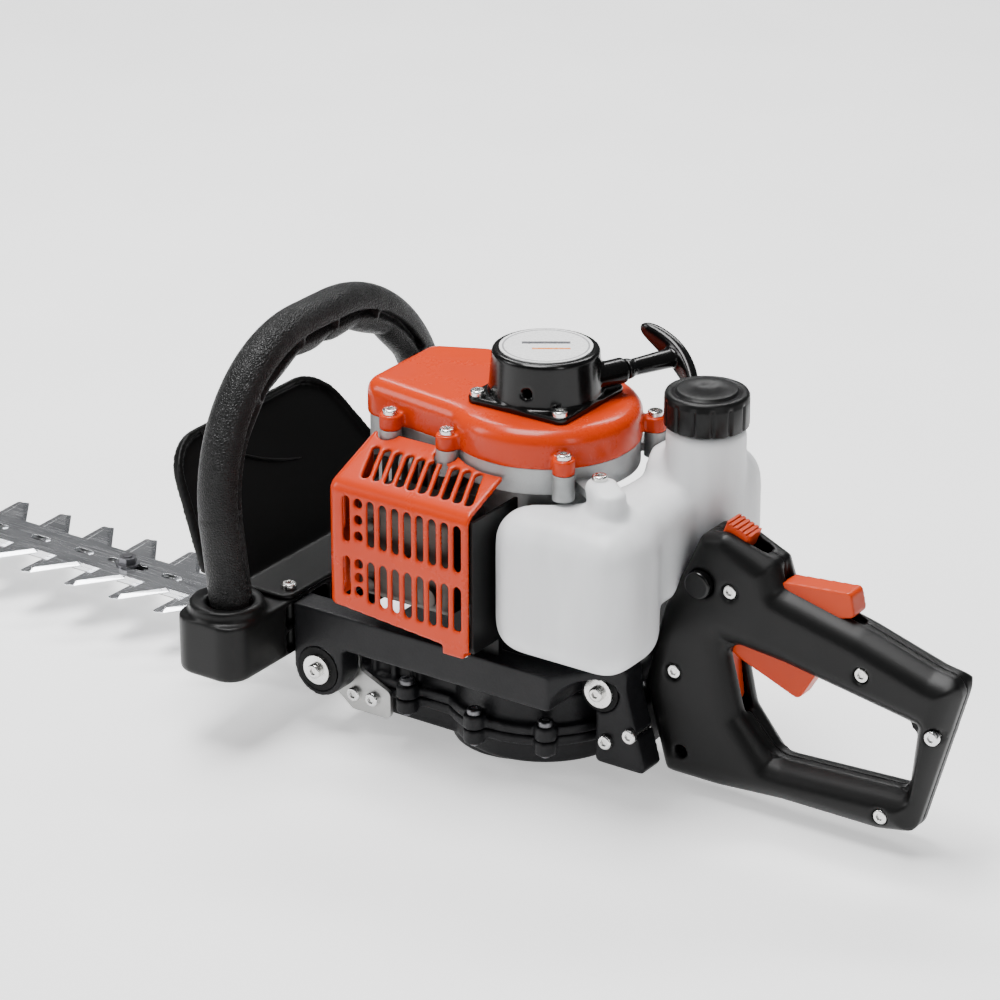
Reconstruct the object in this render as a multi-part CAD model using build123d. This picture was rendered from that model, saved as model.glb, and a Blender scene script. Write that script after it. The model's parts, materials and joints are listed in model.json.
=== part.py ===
"""Petrol hedge trimmer with a double-sided blade, built as an assembly of separate pieces.

Frame: +X to the rear handle, -X to the blade tip, -Y the machine's left side, +Z up.
Origin: on the flat foot of the gear case, straight below the crankshaft axis. Millimetres.
"""

from build123d import *
import os
from math import asin, atan2, cos, degrees, hypot, pi, radians, sin

os.makedirs("parts", exist_ok=True)

# ---------------------------------------------------------------- clearances
FIT = 0.05            # radial running clearance of a shaft, pin or piston
GAP = 0.3             # clearance between pieces that move past each other
SLIDE = 0.1           # clearance between flat pieces that slide on each other

# ---------------------------------------------------------------- driving sizes
PART_Z = 28.0         # height of the gear case's parting line
BLADE_LENGTH = 595.0  # toothed length of the blades
TOOTH_PITCH = 35.0
TOOTH_FIRST_X = -190.0
BLADE_WIDTH = 82.0    # tip to tip across both sides
SPINE_HALF = 15.0
BLADE_T = 2.3
GUIDE_T = 3.0
BLADE_SPLIT = 5.0     # how far the two blades' teeth stand apart at rest
STROKE_HALF = 8.75    # each blade moves this far either side of mid-stroke

CASE_R = 58.0         # round rear part of the gear case
CASE_NECK_HALF = 46.0
CASE_FRONT_X = -110.0
CASE_WALL = 5.0
CASE_TOP_Z = 52.0
FOOT_R = 42.0
FOOT_X = -14.0

PINION_TEETH = 11
GEAR_TEETH = 46
GEAR_MODULE = 1.25
GEAR_T = 7.0
ECCENTRIC_R = 15.0
ECCENTRIC_T = 5.0
ROD_T = 3.0
GEAR_SHAFT_R = 5.0

CLUTCH_HOUSING_R = 42.0
CLUTCH_HOUSING_Z = 56.0
CLUTCH_DRUM_R = 30.0
CRANKCASE_Z = 84.0
CRANKCASE_R = 37.0
CRANK_CAVITY_R = 25.0
FAN_BASE_Z = 176.0
FAN_COVER_Z = 191.0
FAN_COVER_H = 22.0
FAN_R = 55.0
LUG_R = 6.5
COVER_WALL = 3.0

CYL_Z = 128.0
BORE_R = 16.0
PISTON_STROKE = 28.0
ROD_LENGTH = 52.0
PISTON_LENGTH = 28.0

STARTER_HALF = 33.0
STARTER_H = 30.0
STARTER_R = 30.4
STARTER_WALL = 2.5
PULLEY_R = 22.0
ROPE_R = 1.75
ROPE_STROKE = 40.0
GRIP_ANGLE = 68.0     # direction of the starter rope from +X towards +Y

TUBE_R = 13.2         # front handle tube
TUBE_HALF = 101.0     # half the distance between the two legs at the bracket
TUBE_TOP_HALF = 105.0
TUBE_TOP_Z = 227.0
TUBE_X = -150.0
TUBE_LEAN = 0.08      # how far the loop leans forward for each unit of height
TUBE_FOOT_Z = 62.0

BRACKET_X0 = -176.0
BRACKET_X1 = -129.0
BRACKET_Z0 = 45.0
BRACKET_Z1 = 80.0
SOCKET_Z1 = 87.0
SOCKET_R = 24.0
BRACKET_CORNER = 14.0
BRACKET_EDGE = 3.0

GUARD_LEAN = 0.70
GUARD_TOP_Z = 157.0
GUARD_T = 3.0
GUARD_X = -165.0

SHELL_HALF = 17.0     # half thickness of the rear handle
SHELL_WALL = 3.0
SCREW_R = 2.5
HEAD_R = 4.4


# ---------------------------------------------------------------- helpers
def save(node, *shapes):
    """Write one node, a solid or a group of separate solids."""
    solids = [s for shape in shapes for s in shape.solids()]
    whole = solids[0] if len(solids) == 1 else Compound(children=solids)
    export_step(whole, f"parts/{node}.step")


def post(x, y, z0, z1, r):
    """Upright cylinder from z0 to z1."""
    return Pos(x, y, (z0 + z1) / 2) * Cylinder(r, z1 - z0)


def bar_y(x, z, y0, y1, r):
    """Cylinder along Y from y0 to y1."""
    return Pos(x, (y0 + y1) / 2, z) * Rot(90, 0, 0) * Cylinder(r, abs(y1 - y0))


def bar_x(y, z, x0, x1, r):
    """Cylinder along X from x0 to x1."""
    return Pos((x0 + x1) / 2, y, z) * Rot(0, 90, 0) * Cylinder(r, abs(x1 - x0))


def block(x0, x1, y0, y1, z0, z1):
    """Box between two corners."""
    return Pos((x0 + x1) / 2, (y0 + y1) / 2, (z0 + z1) / 2) * Box(x1 - x0, y1 - y0, z1 - z0)


def plate_xz(outline, y0, y1):
    """Closed outline of (x, z) points, thickened along Y from y0 to y1."""
    face = make_face(Polyline(*[(x, z) for x, z in outline], close=True))
    return Pos(0, y0, 0) * Rot(90, 0, 0) * extrude(face, -(y1 - y0))


def sketch_xz(sketch, y0, y1):
    """Sketch drawn in (x, z), thickened along Y from y0 to y1."""
    return Pos(0, y0, 0) * Rot(90, 0, 0) * extrude(sketch, -(y1 - y0))


def rounded(points, radii):
    """Closed outline with its own rounding at each corner."""
    return make_face(FilletPolyline(*points, radius=radii, close=True))


def pan_screw(length, head_r=HEAD_R, shank_r=SCREW_R):
    """Pan-head screw along -Z with its head's underside at the origin."""
    head = fillet(Cylinder(head_r, 3.2).edges().sort_by(Axis.Z)[-1], 1.2)
    head = Pos(0, 0, 1.6) * head
    socket = Pos(0, 0, 2.2) * extrude(RegularPolygon(head_r * 0.5, 6), 2)
    return head - socket + Pos(0, 0, -length / 2) * Cylinder(shank_r, length)


def upright_screw(x, y, z, length, **sizes):
    return Pos(x, y, z) * pan_screw(length, **sizes)


def side_screw(x, z, y, length, side, **sizes):
    """Screw whose head faces -Y (side -1) or +Y (side 1)."""
    return Pos(x, y, z) * Rot(-90 * side, 0, 0) * pan_screw(length, **sizes)


SCREW_CLEAR = 0.2     # radial room round a screw's shank


# ---------------------------------------------------------------- gear train
GEAR_X = -GEAR_MODULE * (PINION_TEETH + GEAR_TEETH) / 2
GEAR_Z0 = PART_Z - GEAR_T / 2
GEAR_Z1 = PART_Z + GEAR_T / 2
GEAR_OUT_R = GEAR_MODULE * (GEAR_TEETH / 2 + 1)
REST_TURN = asin(BLADE_SPLIT / 2 / STROKE_HALF)
CAVITY_R = GEAR_OUT_R + 3.0
CAVITY_Z0 = GEAR_Z0 - ECCENTRIC_T - GAP - ROD_T - 2.0
CAVITY_Z1 = GEAR_Z1 + ECCENTRIC_T + GAP + ROD_T + 2.0
BLADE_Z = PART_Z - BLADE_T - SLIDE / 2
GUIDE_Z = BLADE_Z - SLIDE - GUIDE_T
BEARING_R = 14.0
PINION_SHAFT_R = 5.0
BACKLASH = 0.25     # how much thinner each tooth is than half the pitch


def spur_gear(teeth, z0, z1, phase):
    """Spur gear with straight-flanked teeth on its pitch circle."""
    pitch_r = GEAR_MODULE * teeth / 2
    root_r = pitch_r - 1.25 * GEAR_MODULE
    tip_r = pitch_r + GEAR_MODULE
    half = pi * GEAR_MODULE / 4 - BACKLASH
    tooth = Polyline(
        (root_r - 0.5, -half * 1.3),
        (pitch_r, -half),
        (tip_r, -half * 0.45),
        (tip_r, half * 0.45),
        (pitch_r, half),
        (root_r - 0.5, half * 1.3),
        close=True,
    )
    face = Circle(root_r)
    for i in range(teeth):
        face += Rot(0, 0, phase + 360 * i / teeth) * make_face(tooth)
    return Pos(0, 0, z0) * extrude(face, z1 - z0)


def case_outline(grow=0.0):
    face = Circle(CASE_R + grow)
    neck_x1 = 0.0
    neck = Rectangle(neck_x1 - CASE_FRONT_X + grow, 2 * (CASE_NECK_HALF + grow))
    face += Pos((CASE_FRONT_X - grow + neck_x1) / 2, 0) * neck
    return face


CASE_BOSSES = [(-62.0, 50.0), (-8.0, 60.0), (34.0, 50.0)]
CASE_BOSS_R = 6.5
FLANGE_T = 6.0


def case_bosses(z0, z1):
    shape = None
    for x, y in CASE_BOSSES:
        for side in (-1, 1):
            boss = post(x, side * y, z0, z1, CASE_BOSS_R)
            shape = boss if shape is None else shape + boss
    return shape


def case_cavity():
    room = post(GEAR_X, 0, CAVITY_Z0, CAVITY_Z1, CAVITY_R)
    room += post(0, 0, GEAR_Z0 - 2, GEAR_Z1 + 2, GEAR_MODULE * (PINION_TEETH / 2 + 1) + 2)
    room += block(CASE_FRONT_X + 9, GEAR_X, -22, 22, CAVITY_Z0, CAVITY_Z1)
    mouth_top = BLADE_Z + 2 * BLADE_T + SLIDE + GAP
    room += block(CASE_FRONT_X - 1, GEAR_X, -SPINE_HALF - 1, SPINE_HALF + 1, GUIDE_Z, mouth_top)
    return room


def gearcase_upper():
    flange = Pos(0, 0, PART_Z) * extrude(case_outline(), FLANGE_T)
    body = Pos(0, 0, PART_Z) * extrude(case_outline(-CASE_WALL), CASE_TOP_Z - PART_Z)
    rim = body.faces().sort_by(Axis.Z)[-1].edges()
    body = fillet(rim, 3.0)
    shape = flange + body + case_bosses(PART_Z, PART_Z + FLANGE_T + 3)
    shape += post(0, 0, CASE_TOP_Z - 1, CLUTCH_HOUSING_Z, CLUTCH_HOUSING_R - 4)
    for rib in range(3):
        x = -92.0 + 14.0 * rib
        shape += block(x, x + 4, -CASE_NECK_HALF + 1, CASE_NECK_HALF - 1, PART_Z + FLANGE_T, CASE_TOP_Z - 4)
    shape -= case_cavity()
    shape -= post(0, 0, PART_Z, CLUTCH_HOUSING_Z + 1, PINION_SHAFT_R + 2)
    shape -= post(0, 0, CASE_TOP_Z - 8, CLUTCH_HOUSING_Z + 1, BEARING_R)
    shape -= post(GEAR_X, 0, PART_Z, CASE_TOP_Z - 4, GEAR_SHAFT_R)
    for x, y in CASE_BOSSES:
        for side in (-1, 1):
            shape -= post(x, side * y, PART_Z - 1, CASE_TOP_Z, SCREW_R + SCREW_CLEAR)
    return shape


def gearcase_lower():
    flange = Pos(0, 0, PART_Z - FLANGE_T) * extrude(case_outline(), FLANGE_T)
    body = Pos(0, 0, 8) * extrude(case_outline(-CASE_WALL), PART_Z - 8)
    rim = body.faces().sort_by(Axis.Z)[0].edges()
    body = fillet(rim, 3.0)
    foot = post(FOOT_X, 0, 0, 9, FOOT_R)
    foot = fillet(foot.faces().sort_by(Axis.Z)[0].edges(), 2.5)
    shape = flange + body + foot + case_bosses(PART_Z - FLANGE_T - 3, PART_Z)
    shape -= case_cavity()
    shape -= post(0, 0, 6, PART_Z, PINION_SHAFT_R + FIT)
    shape -= post(GEAR_X, 0, 6, PART_Z, GEAR_SHAFT_R)
    for x, y in CASE_BOSSES:
        for side in (-1, 1):
            shape -= post(x, side * y, 6, PART_Z + 1, SCREW_R)
    for x in AV_BOLT_X:
        for side in (-1, 1):
            shape -= bar_y(x, AV_BOLT_Z, side * (CASE_NECK_HALF - 14), side * (CASE_NECK_HALF + 1), SCREW_R)
    return shape


def gearcase_bolts():
    bolts = []
    for x, y in CASE_BOSSES:
        for side in (-1, 1):
            bolts.append(upright_screw(x, side * y, PART_Z + FLANGE_T + 3, 20.0))
    return bolts


def drive_pinion():
    shaft = post(0, 0, 8, CLUTCH_HOUSING_Z + 6, PINION_SHAFT_R)
    return shaft + spur_gear(PINION_TEETH, GEAR_Z0, GEAR_Z1, 0.0)


def drive_gear():
    gear = spur_gear(GEAR_TEETH, GEAR_Z0, GEAR_Z1, 0.0)
    ex = STROKE_HALF * sin(REST_TURN)
    ey = STROKE_HALF * cos(REST_TURN)
    gear += post(ex, ey, GEAR_Z1, GEAR_Z1 + ECCENTRIC_T, ECCENTRIC_R)
    gear += post(-ex, -ey, GEAR_Z0 - ECCENTRIC_T, GEAR_Z0, ECCENTRIC_R)
    gear -= post(0, 0, 0, 60, GEAR_SHAFT_R + FIT)
    return Pos(GEAR_X, 0, 0) * gear


def gear_shaft():
    return post(GEAR_X, 0, 6, CASE_TOP_Z - 4, GEAR_SHAFT_R)


def con_rod(z0, offset, pin_x, pin_z0, pin_z1):
    """Flat rod whose ring stands just off its eccentric; its pin drives one blade."""
    ring_r = ECCENTRIC_R + 1
    ring_x = GEAR_X + offset
    rod = post(ring_x, 0, z0, z0 + ROD_T, ring_r + ROD_RING_WALL)
    rod += block(pin_x, ring_x, -6, 6, z0, z0 + ROD_T)
    rod += post(pin_x, 0, z0, z0 + ROD_T, ROD_PIN_R + 2.5)
    rod -= post(ring_x, 0, z0 - 1, z0 + ROD_T + 1, ring_r)
    return rod + post(pin_x, 0, pin_z0, pin_z1, ROD_PIN_R)


ROD_PIN_R = 4.0
ROD_RING_WALL = 3.0
UPPER_PIN_X = -82.0
LOWER_PIN_X = -85.0
UPPER_ROD_Z = GEAR_Z1 + ECCENTRIC_T + GAP
LOWER_ROD_Z = GEAR_Z0 - ECCENTRIC_T - GAP - ROD_T
UPPER_BLADE_Z = BLADE_Z + BLADE_T + SLIDE
TANG_X = -76.0


def tooth_face(x, side):
    """One raked cutter tooth on the spine's edge."""
    tip = BLADE_WIDTH / 2
    rake = 11.0
    base = 25.0
    point = 5.0
    y0 = SPINE_HALF - 2
    return rounded(
        [
            (x + base / 2, side * y0),
            (x - rake + point / 2, side * tip),
            (x - rake - point / 2, side * tip),
            (x - base / 2, side * y0),
        ],
        [0.5, 1.6, 1.6, 0.5],
    )


TOOTH_COUNT = int(BLADE_LENGTH // TOOTH_PITCH)
BOLT_EVERY = 4
BOLT_FIRST_X = -310.0
BOLT_XS = [BOLT_FIRST_X - BOLT_EVERY * TOOTH_PITCH * i for i in range(-1, 4)]
BOLT_XS = [x for x in BOLT_XS if x > TOOTH_FIRST_X - BLADE_LENGTH + 30]
BOLT_R = 3.0
SLOT_HALF = STROKE_HALF + BLADE_SPLIT / 2 + BOLT_R + 1.0


def blade(offset, z, pin_x):
    """Toothed blade; offset shifts it from its mid-stroke place."""
    end_x = TOOTH_FIRST_X - BLADE_LENGTH
    length = TANG_X - end_x
    nose = 12.0
    face = rounded(
        [(end_x, -nose / 2), (end_x + nose, -SPINE_HALF), (TANG_X - 12, -SPINE_HALF + 1), (TANG_X, -8),
         (TANG_X, 8), (TANG_X - 12, SPINE_HALF - 1), (end_x + nose, SPINE_HALF), (end_x, nose / 2)],
        [3, 3, 3, 3, 3, 3, 3, 3],
    )
    for i in range(TOOTH_COUNT):
        x = TOOTH_FIRST_X - TOOTH_PITCH * (i + 0.5)
        for side in (-1, 1):
            face += tooth_face(x, side)
    for i in range(TOOTH_COUNT):
        x = TOOTH_FIRST_X - TOOTH_PITCH * i - TOOTH_PITCH / 2
        if min(abs(x - bolt) for bolt in BOLT_XS) > SLOT_HALF + 9:
            face -= Pos(x, 0) * SlotOverall(15, 6)
    shape = Pos(offset, 0, z) * extrude(face, BLADE_T)
    for x in BOLT_XS:
        slot = Pos(x, 0, z - 1) * extrude(SlotOverall(2 * SLOT_HALF, 2 * (BOLT_R + SLIDE)), BLADE_T + 2)
        shape -= slot
    shape -= post(pin_x, 0, z - 1, z + BLADE_T + 1, ROD_PIN_R)
    return shape


def guide_bar():
    x0 = BOLT_XS[-1] - 18
    bar = block(x0, CASE_FRONT_X + 9, -11, 11, GUIDE_Z, GUIDE_Z + GUIDE_T)
    bar = fillet(bar.edges().filter_by(Axis.Z), 6)
    for x in BOLT_XS:
        bar -= post(x, 0, GUIDE_Z - 1, GUIDE_Z + GUIDE_T + 1, BOLT_R)
    return bar


def blade_bolts():
    """Shoulder bolts from below with a washer and a nut above the blades."""
    top = UPPER_BLADE_Z + BLADE_T + SLIDE
    bolts = []
    for x in BOLT_XS:
        bolt = post(x, 0, GUIDE_Z - 3, top + 6, BOLT_R)
        bolt += Pos(x, 0, GUIDE_Z - 3) * extrude(RegularPolygon(5.8, 6), 3)
        bolt += post(x, 0, top, top + 1.2, 7.5)
        bolt += Pos(x, 0, top + 1.2) * extrude(RegularPolygon(5.8, 6), 4)
        bolts.append(bolt)
    return bolts


# ---------------------------------------------------------------- clutch and engine
def ring(x, y, z0, z1, r_out, r_in):
    return post(x, y, z0, z1, r_out) - post(x, y, z0 - 1, z1 + 1, r_in)


CRANK_R = 7.5
WEB_R = 20.0
WEB_T = 8.0
ROD_BIG_T = 6.0
CRANK_PIN_R = 5.0
WEB_GAP = 8.0         # from the cylinder axis to each crank web


def bearings():
    return [
        ring(0, 0, CASE_TOP_Z - 8, CASE_TOP_Z + 2, BEARING_R, PINION_SHAFT_R + FIT),
        ring(0, 0, CYL_Z - WEB_GAP - WEB_T - 11, CYL_Z - WEB_GAP - WEB_T - 1, 16, CRANK_R + FIT),
        ring(0, 0, CYL_Z + WEB_GAP + WEB_T + 1, CYL_Z + WEB_GAP + WEB_T + 11, 16, CRANK_R + FIT),
    ]


REAR_AV_X = 61.0
REAR_AV_Z = 59.5
REAR_AV_R = 12.0
EAR_HALF = 15.0


def clutch_housing():
    shape = ring(0, 0, CLUTCH_HOUSING_Z, CRANKCASE_Z, CLUTCH_HOUSING_R, CLUTCH_HOUSING_R - 6)
    ear = block(CLUTCH_HOUSING_R - 5, REAR_AV_X + 9, -EAR_HALF, EAR_HALF, REAR_AV_Z - 7, REAR_AV_Z + 7)
    ear = fillet(ear.edges().filter_by(Axis.Y).group_by(Axis.X)[-1], 6)
    shape += ear - post(0, 0, 40, CRANKCASE_Z, CLUTCH_HOUSING_R - 1)
    return shape - bar_y(REAR_AV_X, REAR_AV_Z, -EAR_HALF - 1, EAR_HALF + 1, SCREW_R)


def clutch_drum():
    cup = post(0, 0, CLUTCH_HOUSING_Z + 3, CRANKCASE_Z - 4, CLUTCH_DRUM_R)
    cup -= post(0, 0, CLUTCH_HOUSING_Z + 6, CRANKCASE_Z, CLUTCH_DRUM_R - 2.5)
    return cup - post(0, 0, 0, CLUTCH_HOUSING_Z + 10, PINION_SHAFT_R)


def clutch_shoes():
    shoe_r = CLUTCH_DRUM_R - 2.5 - GAP
    z0 = CLUTCH_HOUSING_Z + 8
    z1 = CRANKCASE_Z - 5
    shoes = ring(0, 0, z0, z1, shoe_r, shoe_r - 9)
    for turn in (0, 90):
        shoes -= Rot(0, 0, turn) * block(-shoe_r - 1, shoe_r + 1, -2, 2, z0 - 1, z1 + 1)
    hub = post(0, 0, z0, z1, 9)
    for turn in (45, 135):
        hub += Rot(0, 0, turn) * block(-shoe_r + 8.5, shoe_r - 8.5, -3, 3, z0 + 2, z1 - 2)
    hub -= post(0, 0, z0 - 1, z1 + 1, CRANK_R)
    return shoes + hub


def crankshaft():
    """Both halves of the crank; the crankpin is parted where the rod's big end runs."""
    halves = []
    for side in (-1, 1):
        web_in = CYL_Z + side * WEB_GAP
        web_out = web_in + side * WEB_T
        end = CLUTCH_HOUSING_Z + 8 if side < 0 else FAN_COVER_Z + 6
        stub_in = CYL_Z + side * (ROD_BIG_T / 2 + GAP)
        half = post(0, 0, min(web_in, web_out), max(web_in, web_out), WEB_R)
        for y in (-9, 9):
            half -= post(10, y, 0, 300, 4)
        half += post(0, 0, min(web_out, end), max(web_out, end), CRANK_R)
        half += post(-PISTON_STROKE / 2, 0, min(stub_in, web_in), max(stub_in, web_in), CRANK_PIN_R)
        halves.append(half)
    return halves


def connecting_rod():
    big_r = CRANK_PIN_R + 5
    z0 = CYL_Z - ROD_BIG_T / 2
    z1 = CYL_Z + ROD_BIG_T / 2
    rod = block(-ROD_LENGTH, 0, -4, 4, z0 + 1, z1 - 1)
    rod += post(0, 0, z0, z1, big_r)
    rod += post(-ROD_LENGTH, 0, z0, z1, 7)
    rod -= post(0, 0, z0 - 1, z1 + 1, CRANK_PIN_R + FIT)
    rod -= post(-ROD_LENGTH, 0, z0 - 1, z1 + 1, GUDGEON_R)
    return Pos(-PISTON_STROKE / 2, 0, 0) * rod


GUDGEON_R = 4.0
PISTON_CROWN = ROD_LENGTH + 13.0


def piston():
    """Piston with its gudgeon pin, at the top of its stroke."""
    x0 = -PISTON_CROWN
    x1 = x0 + PISTON_LENGTH
    body = bar_x(0, CYL_Z, x0, x1, BORE_R - FIT)
    body -= bar_x(0, CYL_Z, x0 + 5, x1 + 1, BORE_R - 3)
    for groove in (2.5, 5.5):
        cut = bar_x(0, CYL_Z, x0 + groove, x0 + groove + 1.2, BORE_R + 1)
        body -= cut - bar_x(0, CYL_Z, x0, x1, BORE_R - 1)
    pin_half = BORE_R - 1.5
    body += post(-ROD_LENGTH, 0, CYL_Z - pin_half, CYL_Z + pin_half, GUDGEON_R)
    return Pos(-PISTON_STROKE / 2, 0, 0) * body


def fan_body(grow=0.0):
    """Outline of the fan cover: round over the fan, squarer over the cylinder."""
    x0 = -104.0
    y0 = -40.0
    y1 = 50.0
    front = rounded(
        [(x0 - grow, y0 - grow + 6), (-20, y0 - grow - 6), (0, 0), (-20, y1 + grow - 3), (-70, y1 + grow),
         (x0 - grow, y1 - 16 + grow)],
        [12, 6, 1, 6, 14, 12],
    )
    face = Circle(FAN_R + grow) + front
    kinks = [v for v in face.vertices() if abs(hypot(v.X, v.Y) - FAN_R - grow) < 0.01]
    return fillet(kinks, 14)


FAN_LUGS = [(-76.0, -44.0), (-33.0, -50.0), (41.0, -44.0), (49.0, 38.0), (-20.0, 58.0), (-82.0, 49.7)]
LUG_H = 9.0
SHOULDER = 9.0


def fan_cover():
    body = Pos(0, 0, FAN_COVER_Z) * extrude(fan_body(), FAN_COVER_H)
    body = fillet(body.faces().sort_by(Axis.Z)[-1].edges(), SHOULDER)
    for x, y in FAN_LUGS:
        body += post(x, y, FAN_COVER_Z, FAN_COVER_Z + LUG_H, LUG_R)
    room = Pos(0, 0, FAN_COVER_Z - 1) * extrude(fan_body(-COVER_WALL - 1), FAN_COVER_H - COVER_WALL + 1)
    body -= fillet(room.faces().sort_by(Axis.Z)[-1].edges(), SHOULDER - COVER_WALL)
    for x, y in FAN_LUGS:
        body += post(x, y, FAN_COVER_Z, FAN_COVER_Z + LUG_H - 2, LUG_R)
        body -= post(x, y, FAN_COVER_Z - 1, FAN_COVER_Z + 2 * LUG_H, SCREW_R + SCREW_CLEAR)
    for x, y in STARTER_SCREWS:
        body -= post(x, y, FAN_COVER_Z, FAN_COVER_Z + FAN_COVER_H + 1, SCREW_R)
    return body - post(0, 0, FAN_COVER_Z, FAN_COVER_Z + FAN_COVER_H + 1, STARTER_R - 4)


TANK_LUG_ANGLES = (-32.0, 43.0)
TANK_LUG_R = 72.0
TANK_LUG_Z = 179.0
TANK_LUG_T = 5.0


def crankcase():
    body = post(0, 0, CRANKCASE_Z, FAN_BASE_Z + 2, CRANKCASE_R)
    body += post(0, 0, CRANKCASE_Z, CRANKCASE_Z + 5, CLUTCH_HOUSING_R)
    body += block(-CRANKCASE_R - 3, 0, -26, 26, CYL_Z - 26, CYL_Z + 26)
    rim = Pos(0, 0, FAN_BASE_Z) * extrude(fan_body(-1), FAN_COVER_Z - FAN_BASE_Z)
    for x, y in FAN_LUGS:
        rim += post(x, y, FAN_BASE_Z, FAN_COVER_Z, LUG_R - 0.2)
    for angle in TANK_LUG_ANGLES:
        arm = block(FAN_R - 8, TANK_LUG_R, -7, 7, TANK_LUG_Z, TANK_LUG_Z + TANK_LUG_T)
        arm += post(TANK_LUG_R, 0, TANK_LUG_Z, TANK_LUG_Z + TANK_LUG_T, 7)
        rim += Rot(0, 0, angle) * arm
    rim -= Pos(0, 0, FAN_BASE_Z + 4) * extrude(fan_body(-6), 30)
    for x, y in FAN_LUGS:
        rim += post(x, y, FAN_BASE_Z, FAN_COVER_Z, LUG_R - 0.2)
        rim -= post(x, y, FAN_BASE_Z + 2, FAN_COVER_Z + 1, SCREW_R)
    body += rim
    body -= post(0, 0, CYL_Z - WEB_GAP - WEB_T - 1, CYL_Z + WEB_GAP + WEB_T + 1, CRANK_CAVITY_R)
    body -= bar_x(0, CYL_Z, -CRANKCASE_R - 10, 0, BORE_R + 3)
    body -= post(0, 0, CYL_Z - WEB_GAP - WEB_T - 11, CYL_Z + WEB_GAP + WEB_T + 11, 16)
    body -= post(0, 0, 0, 300, CRANK_R + 1)
    for angle in TANK_LUG_ANGLES:
        spot = Rot(0, 0, angle) * Pos(TANK_LUG_R, 0, TANK_LUG_Z)
        body -= spot * Cylinder(SCREW_R, 4 * TANK_LUG_T)
    return body


HEAD_X = -94.0
FIN_Z0 = 94.0
FIN_Z1 = 170.0
FIN_HALF = 31.0
FIN_T = 2.2


def cylinder():
    base_x = -CRANKCASE_R - 3
    body = block(base_x - 5, base_x, -25, 25, CYL_Z - 25, CYL_Z + 25)
    body += bar_x(0, CYL_Z, HEAD_X, base_x, BORE_R + 6)
    fin_count = 7
    first_x = base_x - 12
    last_x = HEAD_X + FIN_T / 2
    for i in range(fin_count):
        x = first_x + (last_x - first_x) * i / (fin_count - 1)
        fin = block(x - FIN_T / 2, x + FIN_T / 2, -FIN_HALF, FIN_HALF, FIN_Z0, FIN_Z1)
        body += fillet(fin.edges().filter_by(Axis.X), 7)
    body += block(-70, -52, -EXHAUST_Y, -10, CYL_Z - 14, CYL_Z + 14)
    body += block(-66, -48, 10, INTAKE_Y, CYL_Z - 14, CYL_Z + 14)
    body -= bar_x(0, CYL_Z, HEAD_X + 8, base_x + 1, BORE_R)
    body -= block(-64, -56, -EXHAUST_Y - 1, 0, CYL_Z - 6, CYL_Z + 6)
    body -= block(-60, -54, 0, INTAKE_Y + 1, CYL_Z - 6, CYL_Z + 6)
    return body - bar_x(0, CYL_Z, HEAD_X - 1, HEAD_X + 9, 5)


EXHAUST_Y = 38.0
INTAKE_Y = 36.0


def spark_plug():
    plug = bar_x(0, CYL_Z, HEAD_X - 24, HEAD_X + 7, 4)
    plug += bar_x(0, CYL_Z, HEAD_X, HEAD_X + 8, 5)
    plug += Pos(HEAD_X, 0, CYL_Z) * Rot(0, -90, 0) * extrude(RegularPolygon(10, 6), 9)
    return plug


def spark_plug_boot():
    boot = bar_x(0, CYL_Z, HEAD_X - 34, HEAD_X - 9.3, 10)
    boot = fillet(boot.edges(), 2)
    boot += post(HEAD_X - 26, 0, CYL_Z, CYL_Z + 24, 7)
    return boot - bar_x(0, CYL_Z, HEAD_X - 24, HEAD_X, 4)


FLYWHEEL_R = 44.0


def flywheel_fan():
    z0 = FAN_BASE_Z + 5
    wheel = post(0, 0, z0, z0 + 5, FLYWHEEL_R)
    wheel += post(0, 0, z0, z0 + 14, 12)
    vanes = 16
    for i in range(vanes):
        vane = block(24, FLYWHEEL_R, -1.2, 1.2, z0 + 4, z0 + 18)
        wheel += Rot(0, 0, 360 * i / vanes) * vane
    return wheel - post(0, 0, z0 - 1, z0 + 20, CRANK_R)


def ignition_coil():
    z0 = FAN_BASE_Z + 4
    coil = block(-82, -48, -12, 12, z0, z0 + 18)
    return coil + bar_x(0, z0 + 9, -88, -82, 5)


# ---------------------------------------------------------------- exhaust side
COVER_X0 = -88.0
COVER_X1 = 8.0
COVER_Y = -90.0
COVER_BACK_Y = -46.0
COVER_Z0 = 90.0
COVER_FACE_Z1 = 172.0
COVER_TOP_Z = 189.0
COVER_T = 2.2


def cover_section(inset):
    """Cross-section of the muffler cover, seen along X: face, rounded shoulder and sloping roof."""
    y0 = COVER_Y + inset
    back = COVER_BACK_Y
    slope = (COVER_TOP_Z - COVER_FACE_Z1) / (COVER_BACK_Y - COVER_Y)
    z_face = COVER_FACE_Z1 - inset
    points = [(back, COVER_Z0 - 1), (y0, COVER_Z0 - 1), (y0, z_face), (back, z_face + slope * (back - y0))]
    return points


def cover_solid(inset, x0, x1):
    points = cover_section(inset)
    face = make_face(Polyline(*points, close=True))
    shoulder = [v for v in face.vertices() if v.X < points[1][0] + 1 and v.Y > COVER_Z0]
    face = fillet(shoulder, 9 - inset)
    return Pos(x0, 0, 0) * (Plane.YZ * extrude(face, x1 - x0))


COVER_DROP = 8.0


def cover_floor(x):
    """Height of the cover's lower edge, which falls towards the rear."""
    return COVER_Z0 + COVER_DROP * (COVER_X1 - x) / (COVER_X1 - COVER_X0)


SLOT_COUNT = 10
SLOT_W = 5.0
SLOT_ROWS = ((98.0, 128.0), (135.0, 165.0))


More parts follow.
